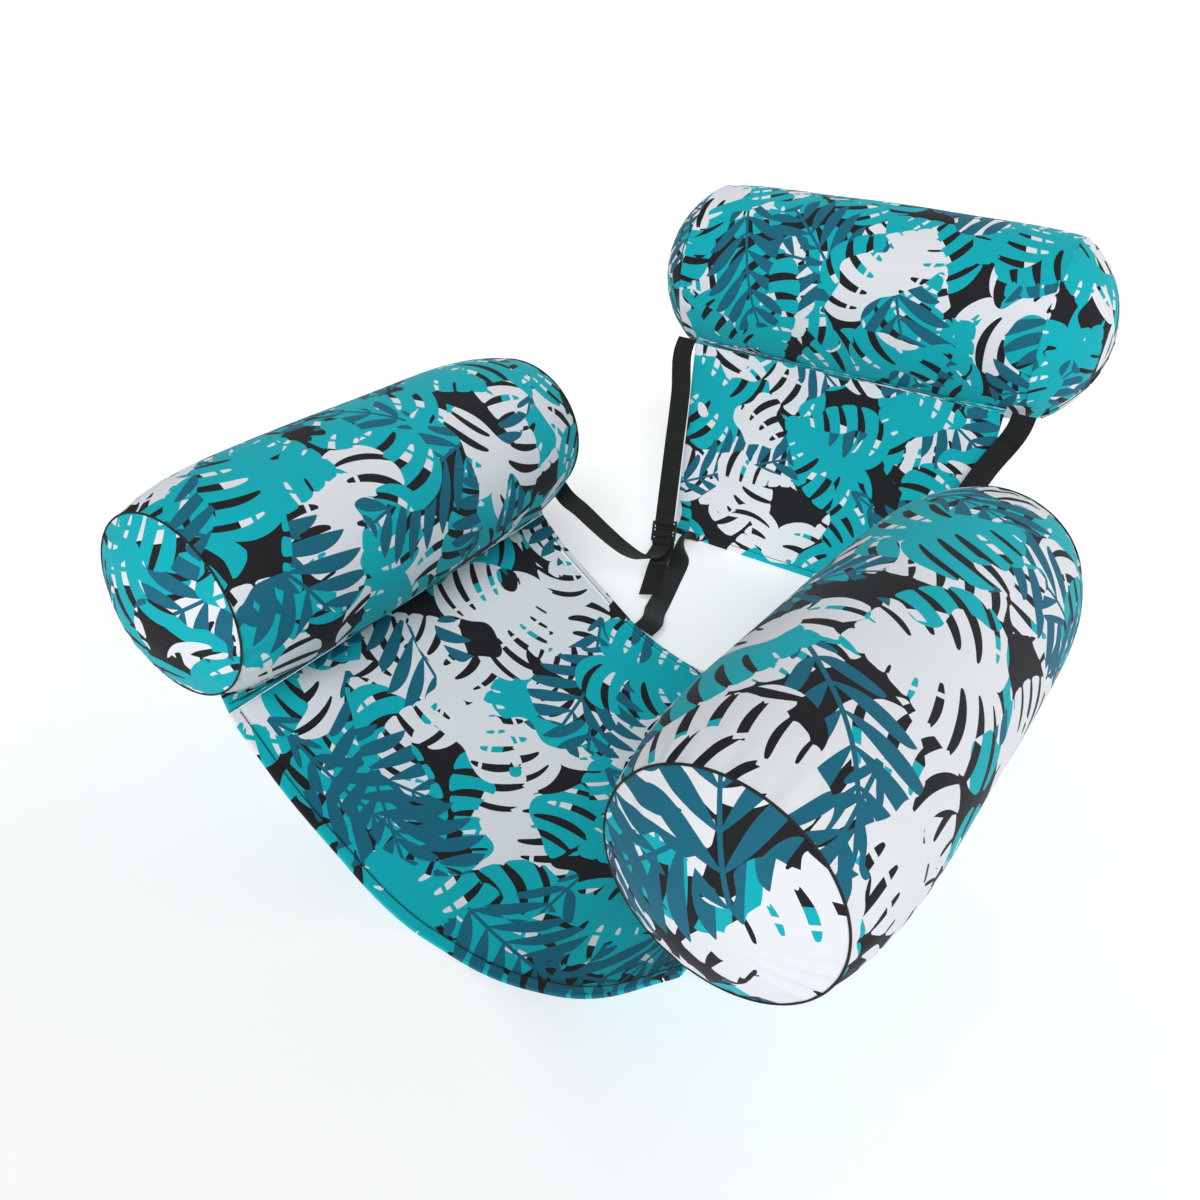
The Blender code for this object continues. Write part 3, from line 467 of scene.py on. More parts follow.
def webbing_finish():
    """Black polypropylene webbing: rows of ribs along it, and cross threads that catch light."""
    made, tree, shader = finish("polypropylene_webbing", "#121412", 0.72, IOR=1.49,
                                Specular_IOR_Level=0.3, Sheen_Weight=0.05, Sheen_Roughness=0.5)
    cloth = add(tree, "UVMap", uv_map="cloth").outputs[0]
    ribs = add(tree, "VectorMath", {0: cloth, 1: (math.pi / RIB_PITCH, math.pi / CROSS_PITCH, 0.0)},
               operation="MULTIPLY").outputs[0]
    waves = add(tree, "VectorMath", {0: ribs}, operation="SINE").outputs[0]
    along, over = add(tree, "SeparateXYZ", {0: waves}).outputs[:2]
    weave = add(tree, "Math", {0: along, 1: over}, operation="MULTIPLY").outputs[0]
    shade = add(tree, "MapRange", {0: weave, 1: -1.0, 2: 1.0, 3: 0.0, 4: 1.0}).outputs[0]
    colour = add(tree, "Mix", {"Factor": shade, 6: linear("#0B0D0C"), 7: linear("#1E211F")},
                 data_type="RGBA").outputs[2]
    tree.links.new(colour, shader.inputs["Base Color"])
    bump = add(tree, "Bump", {"Height": weave, "Distance": WEBBING_RELIEF, "Strength": 0.8})
    tree.links.new(bump.outputs[0], shader.inputs["Normal"])
    return made


def moulded_finish(name, low, high, roughness, grain=0.0012, **sockets):
    """Moulded plastic or film: a faint cloudiness in its colour and a fine uneven gloss."""
    made, tree, shader = finish(name, low, roughness, IOR=1.5, **sockets)
    place = add(tree, "TexCoord").outputs["Object"]
    cloud = add(tree, "TexNoise", {"Vector": place, "Scale": 1 / CLOUD_SIZE, "Detail": 4.0})
    colour = add(tree, "Mix", {"Factor": cloud.outputs[0], 6: linear(low), 7: linear(high)},
                 data_type="RGBA").outputs[2]
    tree.links.new(colour, shader.inputs["Base Color"])
    pores = add(tree, "TexNoise", {"Vector": place, "Scale": 1 / grain, "Detail": 2.0}).outputs[0]
    gloss = add(tree, "MapRange", {
        0: pores, 3: roughness - GLOSS_SPREAD, 4: roughness + GLOSS_SPREAD,
    }).outputs[0]
    tree.links.new(gloss, shader.inputs["Roughness"])
    bump = add(tree, "Bump", {"Height": pores, "Distance": PORE_RELIEF, "Strength": 0.4})
    tree.links.new(bump.outputs[0], shader.inputs["Normal"])
    return made


WEBBING = webbing_finish()
ACETAL = moulded_finish("moulded_acetal", "#0E1010", "#1A1C1C", 0.42)
BLADDER_PVC = moulded_finish("clear_pvc_film", "#BFC7CC", "#D5DBDF", 0.30, grain=0.004)
VALVE_PVC = moulded_finish("moulded_pvc", "#D8DCDE", "#E8EBEC", 0.38)
ZIP_NYLON = moulded_finish("nylon_zip", "#0C0D0F", "#17181B", 0.55)
ZIP_METAL = moulded_finish("painted_zinc", "#2A2B2E", "#3A3B3F", 0.34, Metallic=0.8)
THREAD = moulded_finish("black_thread", "#0A0B0C", "#16181A", 0.75, grain=0.0005)
KEPT = {"valve": VALVE_PVC, "slider": ZIP_METAL, "pull": ZIP_METAL, "lock": ACETAL}
for node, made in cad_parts.items():
    for word, look in KEPT.items():
        if word in node:
            made.data.materials.clear()
            made.data.materials.append(look)
print("finishes:", len([m for m in bpy.data.materials if m.users]))

# %% [markdown]
# ## Bolster covers
#
# Each bolster is a straight sleeve with a domed panel sewn into each end. Air makes it nearly
# round, the end seams draw it in, and the cloth gathers a little where a long sleeve edge is sewn
# to a shorter panel. The sleeve is a function of the angle round the axis and the share of the
# way along it, and so is each panel, with the radius in place of the length.

# %% Shapes of the sleeve and its panels
ARM_SPACING, ARM_SPLAY, ARM_AXIS_HEIGHT = 0.580, math.radians(2.4), 0.252
HEAD_SETBACK, HEAD_AXIS_HEIGHT = 0.682, 0.398
SEAM_GAP = 0.0003
BARREL_POWER = 5.6


class Bolster:
    """Sizes and place of one bolster. Local X is sideways, Y is up and Z runs along the axis."""

    def __init__(self, name, centre, direction, crown, seam, length, dome, zip_line=(0.0, 0.0)):
        self.name, self.crown, self.seam = name, crown, seam
        self.length, self.dome = length, dome
        self.zip_offset, self.zip_turn = zip_line
        self.centre = np.array(centre)
        axis = np.array(direction)
        up = np.array((0.0, 0.0, 1.0))
        self.axes = np.stack((np.cross(up, axis), up, axis))
        self.ball = (seam ** 2 + dome ** 2) / (2 * dome)
        self.ball_foot = length / 2 + SEAM_GAP + dome - self.ball

    def world(self, local):
        """Local points to world points."""
        return self.centre + local @ self.axes

    def radius(self, share):
        """Sleeve radius: the crown, drawn in to the seam by the share along to a power."""
        return self.seam + (self.crown - self.seam) * (1 - np.abs(share) ** BARREL_POWER)

    def turned(self, radius, angle, height):
        """World points at a radius and an angle round the axis, and a way along it."""
        return self.world(grid(radius * np.cos(angle), radius * np.sin(angle), height))

    def seam_point(self, toward, along, radius):
        """World points at a radius from the axis in a local direction, and a way along it."""
        return self.world(grid(toward[0] * radius, toward[1] * radius, along))

    def on_dome(self, across, angle, rise):
        """Local points over the zip end's dome: across the zip, along its arc, above the cloth."""
        arc = np.sqrt((self.ball + rise) ** 2 - across ** 2)
        x, y = across, arc * np.sin(angle)
        cosine, sine = math.cos(self.zip_turn), math.sin(self.zip_turn)
        return grid(
            x * cosine - y * sine, x * sine + y * cosine, self.ball_foot + arc * np.cos(angle),
        )


ARM_SIZES = dict(crown=0.110, seam=0.090, length=0.542, dome=0.029)
HEAD_SIZES = dict(crown=0.121, seam=0.115, length=0.490, dome=0.066,
                  zip_line=(0.034, math.radians(-38.0)))
arm_ball = (ARM_SIZES["seam"] ** 2 + ARM_SIZES["dome"] ** 2) / (2 * ARM_SIZES["dome"])
arm_half = ARM_SIZES["length"] / 2 + SEAM_GAP + ARM_SIZES["dome"]
arm_reach = (arm_half - arm_ball) * math.cos(ARM_SPLAY) + arm_ball
ARMS_Y = (arm_reach - HEAD_SETBACK - HEAD_SIZES["crown"]) / 2
HEAD_Y = ARMS_Y + HEAD_SETBACK
ARMS = {
    side: Bolster(
        f"{word}_arm", (side * ARM_SPACING / 2, ARMS_Y, ARM_AXIS_HEIGHT),
        (side * math.sin(ARM_SPLAY), math.cos(ARM_SPLAY), 0.0), **ARM_SIZES,
    )
    for side, word in ((-1, "left"), (1, "right"))
}
HEADREST = Bolster("headrest", (0.0, HEAD_Y, HEAD_AXIS_HEIGHT), (1.0, 0.0, 0.0), **HEAD_SIZES)
BOLSTERS = (*ARMS.values(), HEADREST)


def near_seam(inset, root, reach):
    """Nothing at a seam itself, most just inside it, and fading away over the reach."""
    return np.exp(-inset / reach) * (1 - np.exp(-inset / root))


def ripple(angle, seed, low, high, count=9):
    """Waves round a seam: a few cosines of whole-number counts with chance phases, from -1 to 1."""
    chance = np.random.default_rng(seed)
    counts = chance.integers(low, high, count)
    phases = chance.uniform(0, math.tau, count)
    weights = chance.uniform(0.5, 1.0, count)
    waves = np.cos(angle[..., None] * counts + phases) * weights
    return waves.sum(axis=-1) / np.sqrt((weights ** 2).sum() / 2) / 2


SLEEVE_COLUMNS, SLEEVE_ROWS, PANEL_RINGS = 192, 150, 44
# Powers of the share of the way that crowd the rows towards the seams
ROW_CROWDING, RING_CROWDING = 1.35, 0.8
GATHER_DEPTH, GATHER_ROOT, GATHER_REACH = 0.0015, 0.004, 0.022
SLEEVE_GATHERS, PANEL_GATHERS = (16, 40), (16, 36)
GATHER_LEAN, GATHER_LEAN_LENGTH = 0.06, 0.07
PANEL_DRAW = 0.4
SWELL_DEPTH, SWELL_LENGTH, SWELL_TWIST_LENGTH, SWELLS = 0.0012, 0.055, 0.4, (2, 6)
UNDERSIDE = -math.pi / 2


def sleeve_points(bolster, seed):
    """Sleeve: radius(share), less gathers that fade away from both end seams."""
    turn = np.linspace(0, math.tau, SLEEVE_COLUMNS + 1)[None, :]
    angle = turn[:, :-1] + UNDERSIDE
    even = np.linspace(-1, 1, SLEEVE_ROWS)
    share = (np.sign(even) * (1 - (1 - np.abs(even)) ** ROW_CROWDING))[:, None]
    height = share * bolster.length / 2
    inset = bolster.length / 2 - np.abs(height)
    turned = angle + GATHER_LEAN * np.sin(height / GATHER_LEAN_LENGTH + seed)
    gather = np.where(
        share < 0, ripple(turned, seed, *SLEEVE_GATHERS), ripple(turned, seed + 1, *SLEEVE_GATHERS),
    )
    swell = ripple(angle + height / SWELL_TWIST_LENGTH, seed + 2, *SWELLS)
    swell = swell * np.sin(height / SWELL_LENGTH + seed)
    fade = near_seam(inset, GATHER_ROOT, GATHER_REACH)
    radius = bolster.radius(share) - GATHER_DEPTH * fade * (0.6 + gather)
    radius = radius + SWELL_DEPTH * swell * (1 - np.abs(share) ** 4)
    return bolster.turned(radius, angle, height), grid(turn * bolster.crown, height)


def panel_points(bolster, end, seed):
    """Domed panel: a ball's cap, pole first, less short gathers near its seam."""
    turn = np.linspace(0, math.tau, SLEEVE_COLUMNS + 1)[None, :] + UNDERSIDE
    angle = turn[:, :-1]
    share = np.linspace(0, 1, PANEL_RINGS)[:, None] ** RING_CROWDING
    reach = math.acos(1 - bolster.dome / bolster.ball)
    swing = reach * share
    fade = near_seam(bolster.ball * (reach - swing), GATHER_ROOT, GATHER_REACH)
    sink = GATHER_DEPTH * fade * (0.5 + ripple(angle, seed, *PANEL_GATHERS))
    height = bolster.ball_foot + bolster.ball * np.cos(swing) - sink
    radius = bolster.ball * np.sin(swing) - sink * PANEL_DRAW
    spread = bolster.ball * swing
    flat = grid(spread * np.cos(turn), spread * np.sin(turn))
    return bolster.turned(radius, angle, end * height), flat


SLEEVE_CUT, PANEL_CUT, END_CUT = 0.37, 0.61, 0.29


def print_place(seed, end):
    """Which part of the printed cloth an end panel was cut from."""
    return seed * PANEL_CUT + end * END_CUT


print("headrest ball radius:", round(HEADREST.ball * 1000), "mm")

# %% Make the covers
COVER_WALL = 0.0010
PIPING_RADIUS, PIPING_OUT = 0.0010, 0.4
ENDS = {
    "left_arm": ("front", "rear"), "right_arm": ("front", "rear"), "headrest": ("left", "right"),
}


def make_cover(bolster, seed):
    """The sleeve and both end panels of one bolster, each a cloth wall that replaces its solid."""
    points, flat = sleeve_points(bolster, seed)
    sleeve = surface(f"{bolster.name}_cover", points, flat + seed * SLEEVE_CUT, wrap=True)
    cloth = (CLOTH, bolster.name, "printed_cloth", COVER_WALL)
    blown_up(sleeve, *cloth, f"{bolster.name}_sleeve")
    for end, title in zip((-1, 1), ENDS[bolster.name]):
        points, flat = panel_points(bolster, end, seed + end)
        panel = surface(f"{bolster.name}_{title}_end", points, flat + print_place(seed, end),
                        wrap=True, pole=True, flip=end > 0)
        blown_up(panel, *cloth, f"{bolster.name}_{title}_panel")


def make_piping(bolster, end, title):
    """A thin black cord in the seam: a tube whose middle runs round the seam circle."""
    turn = np.linspace(0, math.tau, SLEEVE_COLUMNS + 1)[None, :]
    swing = np.linspace(0, math.tau, 9)[:, None]
    radius = bolster.seam + PIPING_RADIUS * (PIPING_OUT + np.cos(swing))
    height = end * (bolster.length / 2 + SEAM_GAP / 2) + PIPING_RADIUS * np.sin(swing)
    points = bolster.turned(radius, turn[:, :-1], height)
    flat = grid(turn * bolster.seam, swing * PIPING_RADIUS)
    cord = surface(f"{bolster.name}_{title}_piping", points, flat, wrap=True)
    dressed(welded(cord), THREAD, bolster.name)


SEEDS = dict(zip((bolster.name for bolster in BOLSTERS), (3, 10, 17)))
for bolster in BOLSTERS:
    make_cover(bolster, SEEDS[bolster.name])
for bolster in ARMS.values():
    for end, title in zip((-1, 1), ENDS[bolster.name]):
        make_piping(bolster, end, title)
print("covers made on", SLEEVE_COLUMNS, "by", SLEEVE_ROWS, "grids")

# %% [markdown]
# ## Bladders
#
# Inside each cover is a clear film bladder. It stays just clear of the cover, closes over the far
# end as a dome, and narrows at the zip end to a flat land where the valve is welded.

# %% Bladders inside the covers
BLADDER_EASE, BLADDER_WALL = 0.0058, 0.0004
VALVE_POCKET, VALVE_LAND_RADIUS, VALVE_HOLE_RADIUS = 0.018, 0.019, 0.009
BLADDER_DOME_SHARE, BLADDER_BARREL = 0.92, (-0.97, 0.94)
BLADDER_SHOULDER = np.radians((10, 90))


def make_bladder(bolster):
    """One turned film shell: radius and height along a profile from the far pole to the valve."""
    reach = math.acos(1 - bolster.dome / bolster.ball)
    swing = np.linspace(0, reach * BLADDER_DOME_SHARE, 14)
    ball = bolster.ball - BLADDER_EASE
    share = np.linspace(*BLADDER_BARREL, 40)
    shoulder = np.linspace(*BLADDER_SHOULDER, 14)
    wide = bolster.radius(share[-1]) - BLADDER_EASE
    start, land = share[-1] * bolster.length / 2, bolster.length / 2 + bolster.dome - VALVE_POCKET
    radius = np.concatenate((
        ball * np.sin(swing), bolster.radius(share) - BLADDER_EASE,
        VALVE_LAND_RADIUS + (wide - VALVE_LAND_RADIUS) * np.cos(shoulder), (VALVE_HOLE_RADIUS,),
    ))[:, None]
    height = np.concatenate((
        -bolster.ball_foot - ball * np.cos(swing), share * bolster.length / 2,
        start + (land - start) * np.sin(shoulder), (land,),
    ))[:, None]
    turn = np.linspace(0, math.tau, 97)[None, :]
    points = bolster.turned(radius, turn[:, :-1], height)
    film = surface(f"{bolster.name}_film", points, grid(turn * bolster.crown, height),
                   wrap=True, pole=True)
    blown_up(film, BLADDER_PVC, bolster.name, "bladder_film", BLADDER_WALL,
             f"{bolster.name}_bladder")


for bolster in BOLSTERS:
    make_bladder(bolster)
print("bladders:", len(BOLSTERS))

# %% [markdown]
# ## Sheets, thread and flaps
#
# A sheet of cloth is two like grids, a little above and below its middle surface, joined all round.
# A folded hem is the same sheet, thicker for its last 12 mm and round at its edge. Thread is many
# small rods, made in one go. The seam flap is the narrow strip in which a sheet is sewn to a cover.

# %% Closed sheets and rows of stitches
CLOTH_THICKNESS, HEM_THICKNESS, HEM_WIDTH = 0.0012, 0.0030, 0.012
SEAM_FLAP_WIDTH, FLAP_CUT, FLAP_ROW, FOLD_GAP = 0.006, 0.4, 3, 0.0004
THREAD_THICKNESS, THREAD_TIP, THREAD_RISE = 0.0010, 0.35, 0.25
STITCH_LENGTH, STITCH_PITCH = 0.0027, 0.0030
HEM_EDGE, HEM_STEP, HEM_STEP_START = 0.0015, 0.0012, 0.0004
# Millimetres in from a hemmed edge, close together at its round edge and at the step inside
HEM_PLACES = (0.0, 0.2, 0.6, 1.1, 1.8, 4.0, 8.0, 10.6, 11.2, 11.6, 12.0, 12.4, 13.0)
PLAIN_START = 0.016


def grid_normals(mid):
    """Upright direction at each point of a grid: along a row, crossed with along a column."""
    return normalised(np.cross(np.gradient(mid, axis=1), np.gradient(mid, axis=0)))


def slab(name, mid, up, down, flat):
    """A closed sheet, up and down from its middle surface."""
    rows, columns = mid.shape[:2]
    normal = grid_normals(mid)
    points = np.concatenate((mid + normal * up[..., None], mid - normal * down[..., None]))
    index = np.arange(rows * columns).reshape(rows, columns)
    quads = grid(index[:-1, :-1], index[:-1, 1:], index[1:, 1:], index[1:, :-1]).reshape(-1, 4)
    ring = np.concatenate((index[0, :-1], index[:-1, -1], index[-1, :0:-1], index[:0:-1, 0]))
    after = np.roll(ring, -1)
    total = rows * columns
    rim = grid(ring, ring + total, after + total, after)
    faces = np.concatenate((quads, quads[:, ::-1] + total, rim))
    flats = np.tile(flat.reshape(-1, 2), (2, 1))
    return meshed(name, points, faces.tolist(), flats[faces.reshape(-1)])


def rods(name, begin, end, up, thickness, sides=6):
    """Many small rods at once: each has two rings of points and a tip at both ends."""
    along = normalised(end - begin)
    across = normalised(np.cross(along, up))
    upright = np.cross(across, along)
    turn = (np.arange(sides) * math.tau / sides)[None, :, None]
    ring = (np.cos(turn) * across[:, None] + np.sin(turn) * upright[:, None]) * thickness / 2
    inset = along[:, None] * thickness * THREAD_TIP
    near, far = begin[:, None] + inset + ring, end[:, None] - inset + ring
    points = np.concatenate((begin[:, None], near, far, end[:, None]), axis=1)
    first = np.arange(1, sides + 1)
    after = np.roll(first, -1)
    start = (np.arange(len(begin)) * (2 * sides + 2))[:, None, None]
    tips = np.concatenate((
        grid(0, first, after), grid(2 * sides + 1, after + sides, first + sides),
    ))
    walls = grid(first, first + sides, after + sides, after)
    faces = (tips + start).reshape(-1, 3).tolist() + (walls + start).reshape(-1, 4).tolist()
    return meshed(name, points, faces)


def stitches(name, path, up, body):
    """One row of thread that lies on a path, with a small gap between each two stitches."""
    lying = path + normalised(up) * THREAD_THICKNESS * THREAD_RISE
    run = run_of(lying)
    starts = np.arange(STITCH_PITCH, run[-1] - STITCH_PITCH, STITCH_PITCH)
    begin, end = (between(place, run, lying) for place in (starts, starts + STITCH_LENGTH))
    facing = between(starts / run[-1] * (len(path) - 1), np.arange(len(path)), up)
    dressed(rods(name, begin, end, facing, THREAD_THICKNESS), THREAD, body)


def thread_rows(name, path, normal, up, down, body):
    """Stitches on both faces of a sheet, above and below a path in its middle surface."""
    for word, sign, depth in (("upper", 1, up), ("lower", -1, down)):
        stitches(f"{name}_{word}_stitches", path + sign * normal * depth, sign * normal, body)


def hem_lift(inset):
    """How much of the hem's extra thickness there is: round at the edge, a soft step inside."""
    round_edge = np.sqrt(np.clip(1 - (1 - np.clip(inset / HEM_EDGE, 0, 1)) ** 2, 0, 1))
    step = np.clip((HEM_WIDTH + HEM_STEP_START - inset) / HEM_STEP, 0, 1)
    return round_edge * eased(step)


def hemmed_places(first, last, count):
    """Places from one hemmed edge to the other, close together over both hems."""
    fine = np.array(HEM_PLACES) / 1000
    middle = np.linspace(first + PLAIN_START, last - PLAIN_START, count)
    return np.concatenate((first + fine, middle, last - fine[::-1]))


def flap(name, bolster, toward, first, last, body, node):
    """The seam flap, from the cover's crown to the fold, with a row of stitches on both faces."""
    along = np.linspace(first, last, 120)[:, None]
    root = bolster.radius(along / (bolster.length / 2)) + SEAM_GAP
    tip = bolster.crown + SEAM_FLAP_WIDTH - FOLD_GAP
    share = np.linspace(0, 1, 6)[None, :]
    mid = bolster.seam_point(toward, along, root + (tip - root) * share)
    half = np.full(mid.shape[:2], CLOTH_THICKNESS / 2)
    flat = grid(along, tip * share) + FLAP_CUT
    dressed(slab(name, mid, half, half, flat), CLOTH, body, node)
    depth = CLOTH_THICKNESS / 2
    thread_rows(name, mid[:, FLAP_ROW], grid_normals(mid)[:, FLAP_ROW], depth, depth, body)


print("a hem is", round(1000 * HEM_THICKNESS, 1), "mm thick", round(1000 * HEM_WIDTH), "mm wide")

# %% [markdown]
# ## Seat sling and back panel
#
# The seat is one piece of the same cloth, sewn along each arm and free at the front and rear,
# where it has a folded hem with a row of black stitches. Its own weight makes it hang in a curve
# that stands on the ground right of its middle. The back hangs from the headrest and stands on
# its lower hem. Both have long shallow waves, and short puckers beside their seams.

# %% Seat
SEAT_LENGTH, SEAT_FRONT_INSET = 0.524, 0.009
SEAT_SEAM = {-1: math.radians(22.5), 1: math.radians(11.25)}
SEAT_FOOT = {-1: 0.0, 1: 0.040}
SLING_POWER = {-1: 1.65, 1: 2.0}
SEAT_FRONT_Y = ARMS_Y - ARM_SIZES["length"] / 2 + SEAT_FRONT_INSET
SEAT_REAR_Y = SEAT_FRONT_Y + SEAT_LENGTH
SEAT_COLUMNS = 241
WAVE_DEPTH, WAVE_LENGTH, WAVE_START, WAVE_RISE, WAVE_INSET = 0.0022, 0.22, 0.004, 0.03, 0.03
WAVE_PACES = (0.7, 1.6)
PUCKER_DEPTH, PUCKER_TURN, PUCKER_ROOT, PUCKER_REACH = 0.0009, 0.09, 0.003, 0.016
SEAT_SEEDS, SEAT_PUCKERS = (5, 11), (14, 34)
STITCH_INSET = 0.0102


def fold_line(side, y):
    """The line along which an arm's seam flap meets the seat: how far out and how high."""
    reach = ARMS[side].crown + SEAM_FLAP_WIDTH
    inward = math.sin(SEAT_SEAM[side]) * reach
    share = (y - ARMS_Y - inward * math.sin(ARM_SPLAY)) / math.cos(ARM_SPLAY)
    out = ARM_SPACING / 2 - inward * math.cos(ARM_SPLAY) + share * math.sin(ARM_SPLAY)
    return out, ARM_AXIS_HEIGHT - math.cos(SEAT_SEAM[side]) * reach


def sling_height(side, across, out, high):
    """Height grows from the flat foot to the seam as a power of the share of the way."""
    ground = CLOTH_THICKNESS / 2
    share = np.maximum(across - SEAT_FOOT[side], 0) / (out - SEAT_FOOT[side])
    return ground + (high - ground) * share ** SLING_POWER[side]


def waves(first, second, seed, length, count=7):
    """Long waves over a sheet: sums of sines in chance directions, from about -1 to 1."""
    chance = np.random.default_rng(seed)
    turn = chance.uniform(0, math.pi, count)
    pace = math.tau / (length * chance.uniform(*WAVE_PACES, count))
    phase = chance.uniform(0, math.tau, count)
    way = first[..., None] * np.cos(turn) + second[..., None] * np.sin(turn)
    return np.sin(way * pace + phase).sum(axis=-1) / math.sqrt(count)


def seat_grid():
    """Sling: each side's height law, plus waves that fade out at the ground and at the seams."""
    y = hemmed_places(SEAT_FRONT_Y, SEAT_REAR_Y, 130)[:, None]
    way = np.linspace(-1, 1, SEAT_COLUMNS)[None, :]
    sides = []
    for side in (-1, 1):
        out, high = fold_line(side, y)
        across = np.abs(way) * (out - FOLD_GAP)
        sides.append((side * across, sling_height(side, across, out, high)))
    x, z = (np.where(way < 0, left, right) for left, right in zip(*sides))
    mid = grid(x, y, z)
    step = np.linalg.norm(np.diff(mid, axis=1), axis=-1)
    run = np.concatenate((np.zeros((len(y), 1)), np.cumsum(step, axis=1)), axis=1)
    from_seam = np.minimum(run, run[:, -1:] - run)
    foot = run[:, SEAT_COLUMNS // 2:SEAT_COLUMNS // 2 + 1]
    off_ground = np.clip((z - WAVE_START) / WAVE_RISE, 0, 1)
    off_seam = 1 - np.exp(-(from_seam / WAVE_INSET) ** 2)
    wave_seed, pucker_seed = SEAT_SEEDS
    bow = WAVE_DEPTH * waves(run, y + 0 * run, wave_seed, WAVE_LENGTH) * off_ground * off_seam
    pucker = PUCKER_DEPTH * ripple(y / PUCKER_TURN + np.sign(way) * 3, pucker_seed, *SEAT_PUCKERS)
    bow = bow + pucker * near_seam(from_seam, PUCKER_ROOT, PUCKER_REACH)
    mid = mid + grid_normals(mid) * bow[..., None]
    inset = np.minimum(y - SEAT_FRONT_Y, SEAT_REAR_Y - y) + 0 * way
    return mid, grid(run - foot, y), inset


def hem_rows(name, mid, places, wanted, up, down, body):
    """Thread rows in the grid row whose place is nearest to the wanted one."""
    row = int(np.abs(places - wanted).argmin())
    thread_rows(name, mid[row], grid_normals(mid)[row], up[row][:, None], down[row][:, None], body)


seat_mid, seat_flat, seat_inset = seat_grid()
seat_up = CLOTH_THICKNESS / 2 + (HEM_THICKNESS - CLOTH_THICKNESS) * hem_lift(seat_inset)
seat_down = np.full(seat_inset.shape, CLOTH_THICKNESS / 2)
seat = slab("seat_sling", seat_mid, seat_up, seat_down, seat_flat)
dressed(seat, CLOTH, "seat", "seat_panel")
for word, place in (("front", SEAT_FRONT_Y + STITCH_INSET), ("rear", SEAT_REAR_Y - STITCH_INSET)):
    hem_rows(f"seat_{word}_hem", seat_mid, seat_mid[:, 0, 1], place, seat_up, seat_down, "seat")
for side, bolster in ARMS.items():
    toward = (side * math.sin(SEAT_SEAM[side]), -math.cos(SEAT_SEAM[side]))
    ends = [(y - ARMS_Y) / math.cos(ARM_SPLAY) for y in (SEAT_FRONT_Y, SEAT_REAR_Y)]
    flap(f"{bolster.name}_flap", bolster, toward, *ends, bolster.name, f"{bolster.name}_seat_seam")

# %% Back
BACK_WIDTH, BACK_SEAM, BACK_FOOT_SETBACK, BACK_BELLY = 0.446, math.radians(45), 0.580, 0.012
BACK_FOOT_Y = ARMS_Y + BACK_FOOT_SETBACK
BACK_COLUMNS = 151
BACK_WAVE_DEPTH, BACK_WAVE_LENGTH, BACK_WAVE_POWER = 0.0020, 0.20, 0.7
BACK_PUCKER_DEPTH, BACK_PUCKER_TURN, BACK_PUCKERS = 0.0008, 0.08, (14, 30)
BACK_SEEDS, BACK_CUT = (21, 23), 1.3


def back_grid():
    """Back: a straight hang from seam to foot, with a belly that bows it to the rear."""
    reach = HEADREST.crown + SEAM_FLAP_WIDTH
    top_y = HEAD_Y - math.sin(BACK_SEAM) * reach
    hang = HEAD_AXIS_HEIGHT - math.cos(BACK_SEAM) * reach - FOLD_GAP
    z = hemmed_places(0.0, hang + HEM_WIDTH * 2, 90)
    z = np.append(z[z <= hang], hang)[:, None]
    share = z / hang
    across = np.linspace(-0.5, 0.5, BACK_COLUMNS)[None, :] * BACK_WIDTH
    belly = BACK_BELLY * np.sin(math.pi * share) * (1 - (2 * across / BACK_WIDTH) ** 2)
    soft = np.sin(math.pi * np.clip(share, 0, 1)) ** BACK_WAVE_POWER
    wave_seed, pucker_seed = BACK_SEEDS
    wave = waves(across + 0 * z, z + 0 * across, wave_seed, BACK_WAVE_LENGTH)
    pucker = BACK_PUCKER_DEPTH * ripple(across / BACK_PUCKER_TURN, pucker_seed, *BACK_PUCKERS)
    bow = BACK_WAVE_DEPTH * wave * soft + pucker * near_seam(hang - z, PUCKER_ROOT, PUCKER_REACH)
    y = BACK_FOOT_Y + (top_y - BACK_FOOT_Y) * share + belly + bow
    return grid(across, y, z), grid(across, z) + BACK_CUT, z + 0 * across


back_mid, back_flat, back_inset = back_grid()
back_half = CLOTH_THICKNESS / 2 + (HEM_THICKNESS - CLOTH_THICKNESS) / 2 * hem_lift(back_inset)
back = slab("back_cloth", back_mid, back_half, back_half, back_flat)
dressed(back, CLOTH, "back", "back_panel")
hem_rows("back_hem", back_mid, back_mid[:, 0, 2], STITCH_INSET, back_half, back_half, "back")
flap("headrest_flap", HEADREST, (-math.sin(BACK_SEAM), -math.cos(BACK_SEAM)), -BACK_WIDTH / 2,
     BACK_WIDTH / 2, "headrest", "headrest_back_seam")

# %% [markdown]
# ## Zips
#
# Each zip is a dark tape that follows the dome, a row of small teeth, and two lips of the panel's
# own cloth that lie over the tape's edges. The lips keep the panel's print. The slider and its
# pull come from the frame.

# %% Tape, teeth and lips
ZIP_HALF, ZIP_TAPE, ZIP_COIL, ZIP_MARGIN = 0.012, 0.0008, 0.0045, 0.009
TOOTH_PITCH, TOOTH_THICKNESS, TOOTH_RISE = 0.0017, 0.0011, 0.25
# Radians of the dome without teeth at each end of the zip
TOOTHLESS = 0.01
LIP_INNER, LIP_LAP, LIP_RISE, LIP_HALF = 0.0043, 0.001, 0.0006, 0.0004


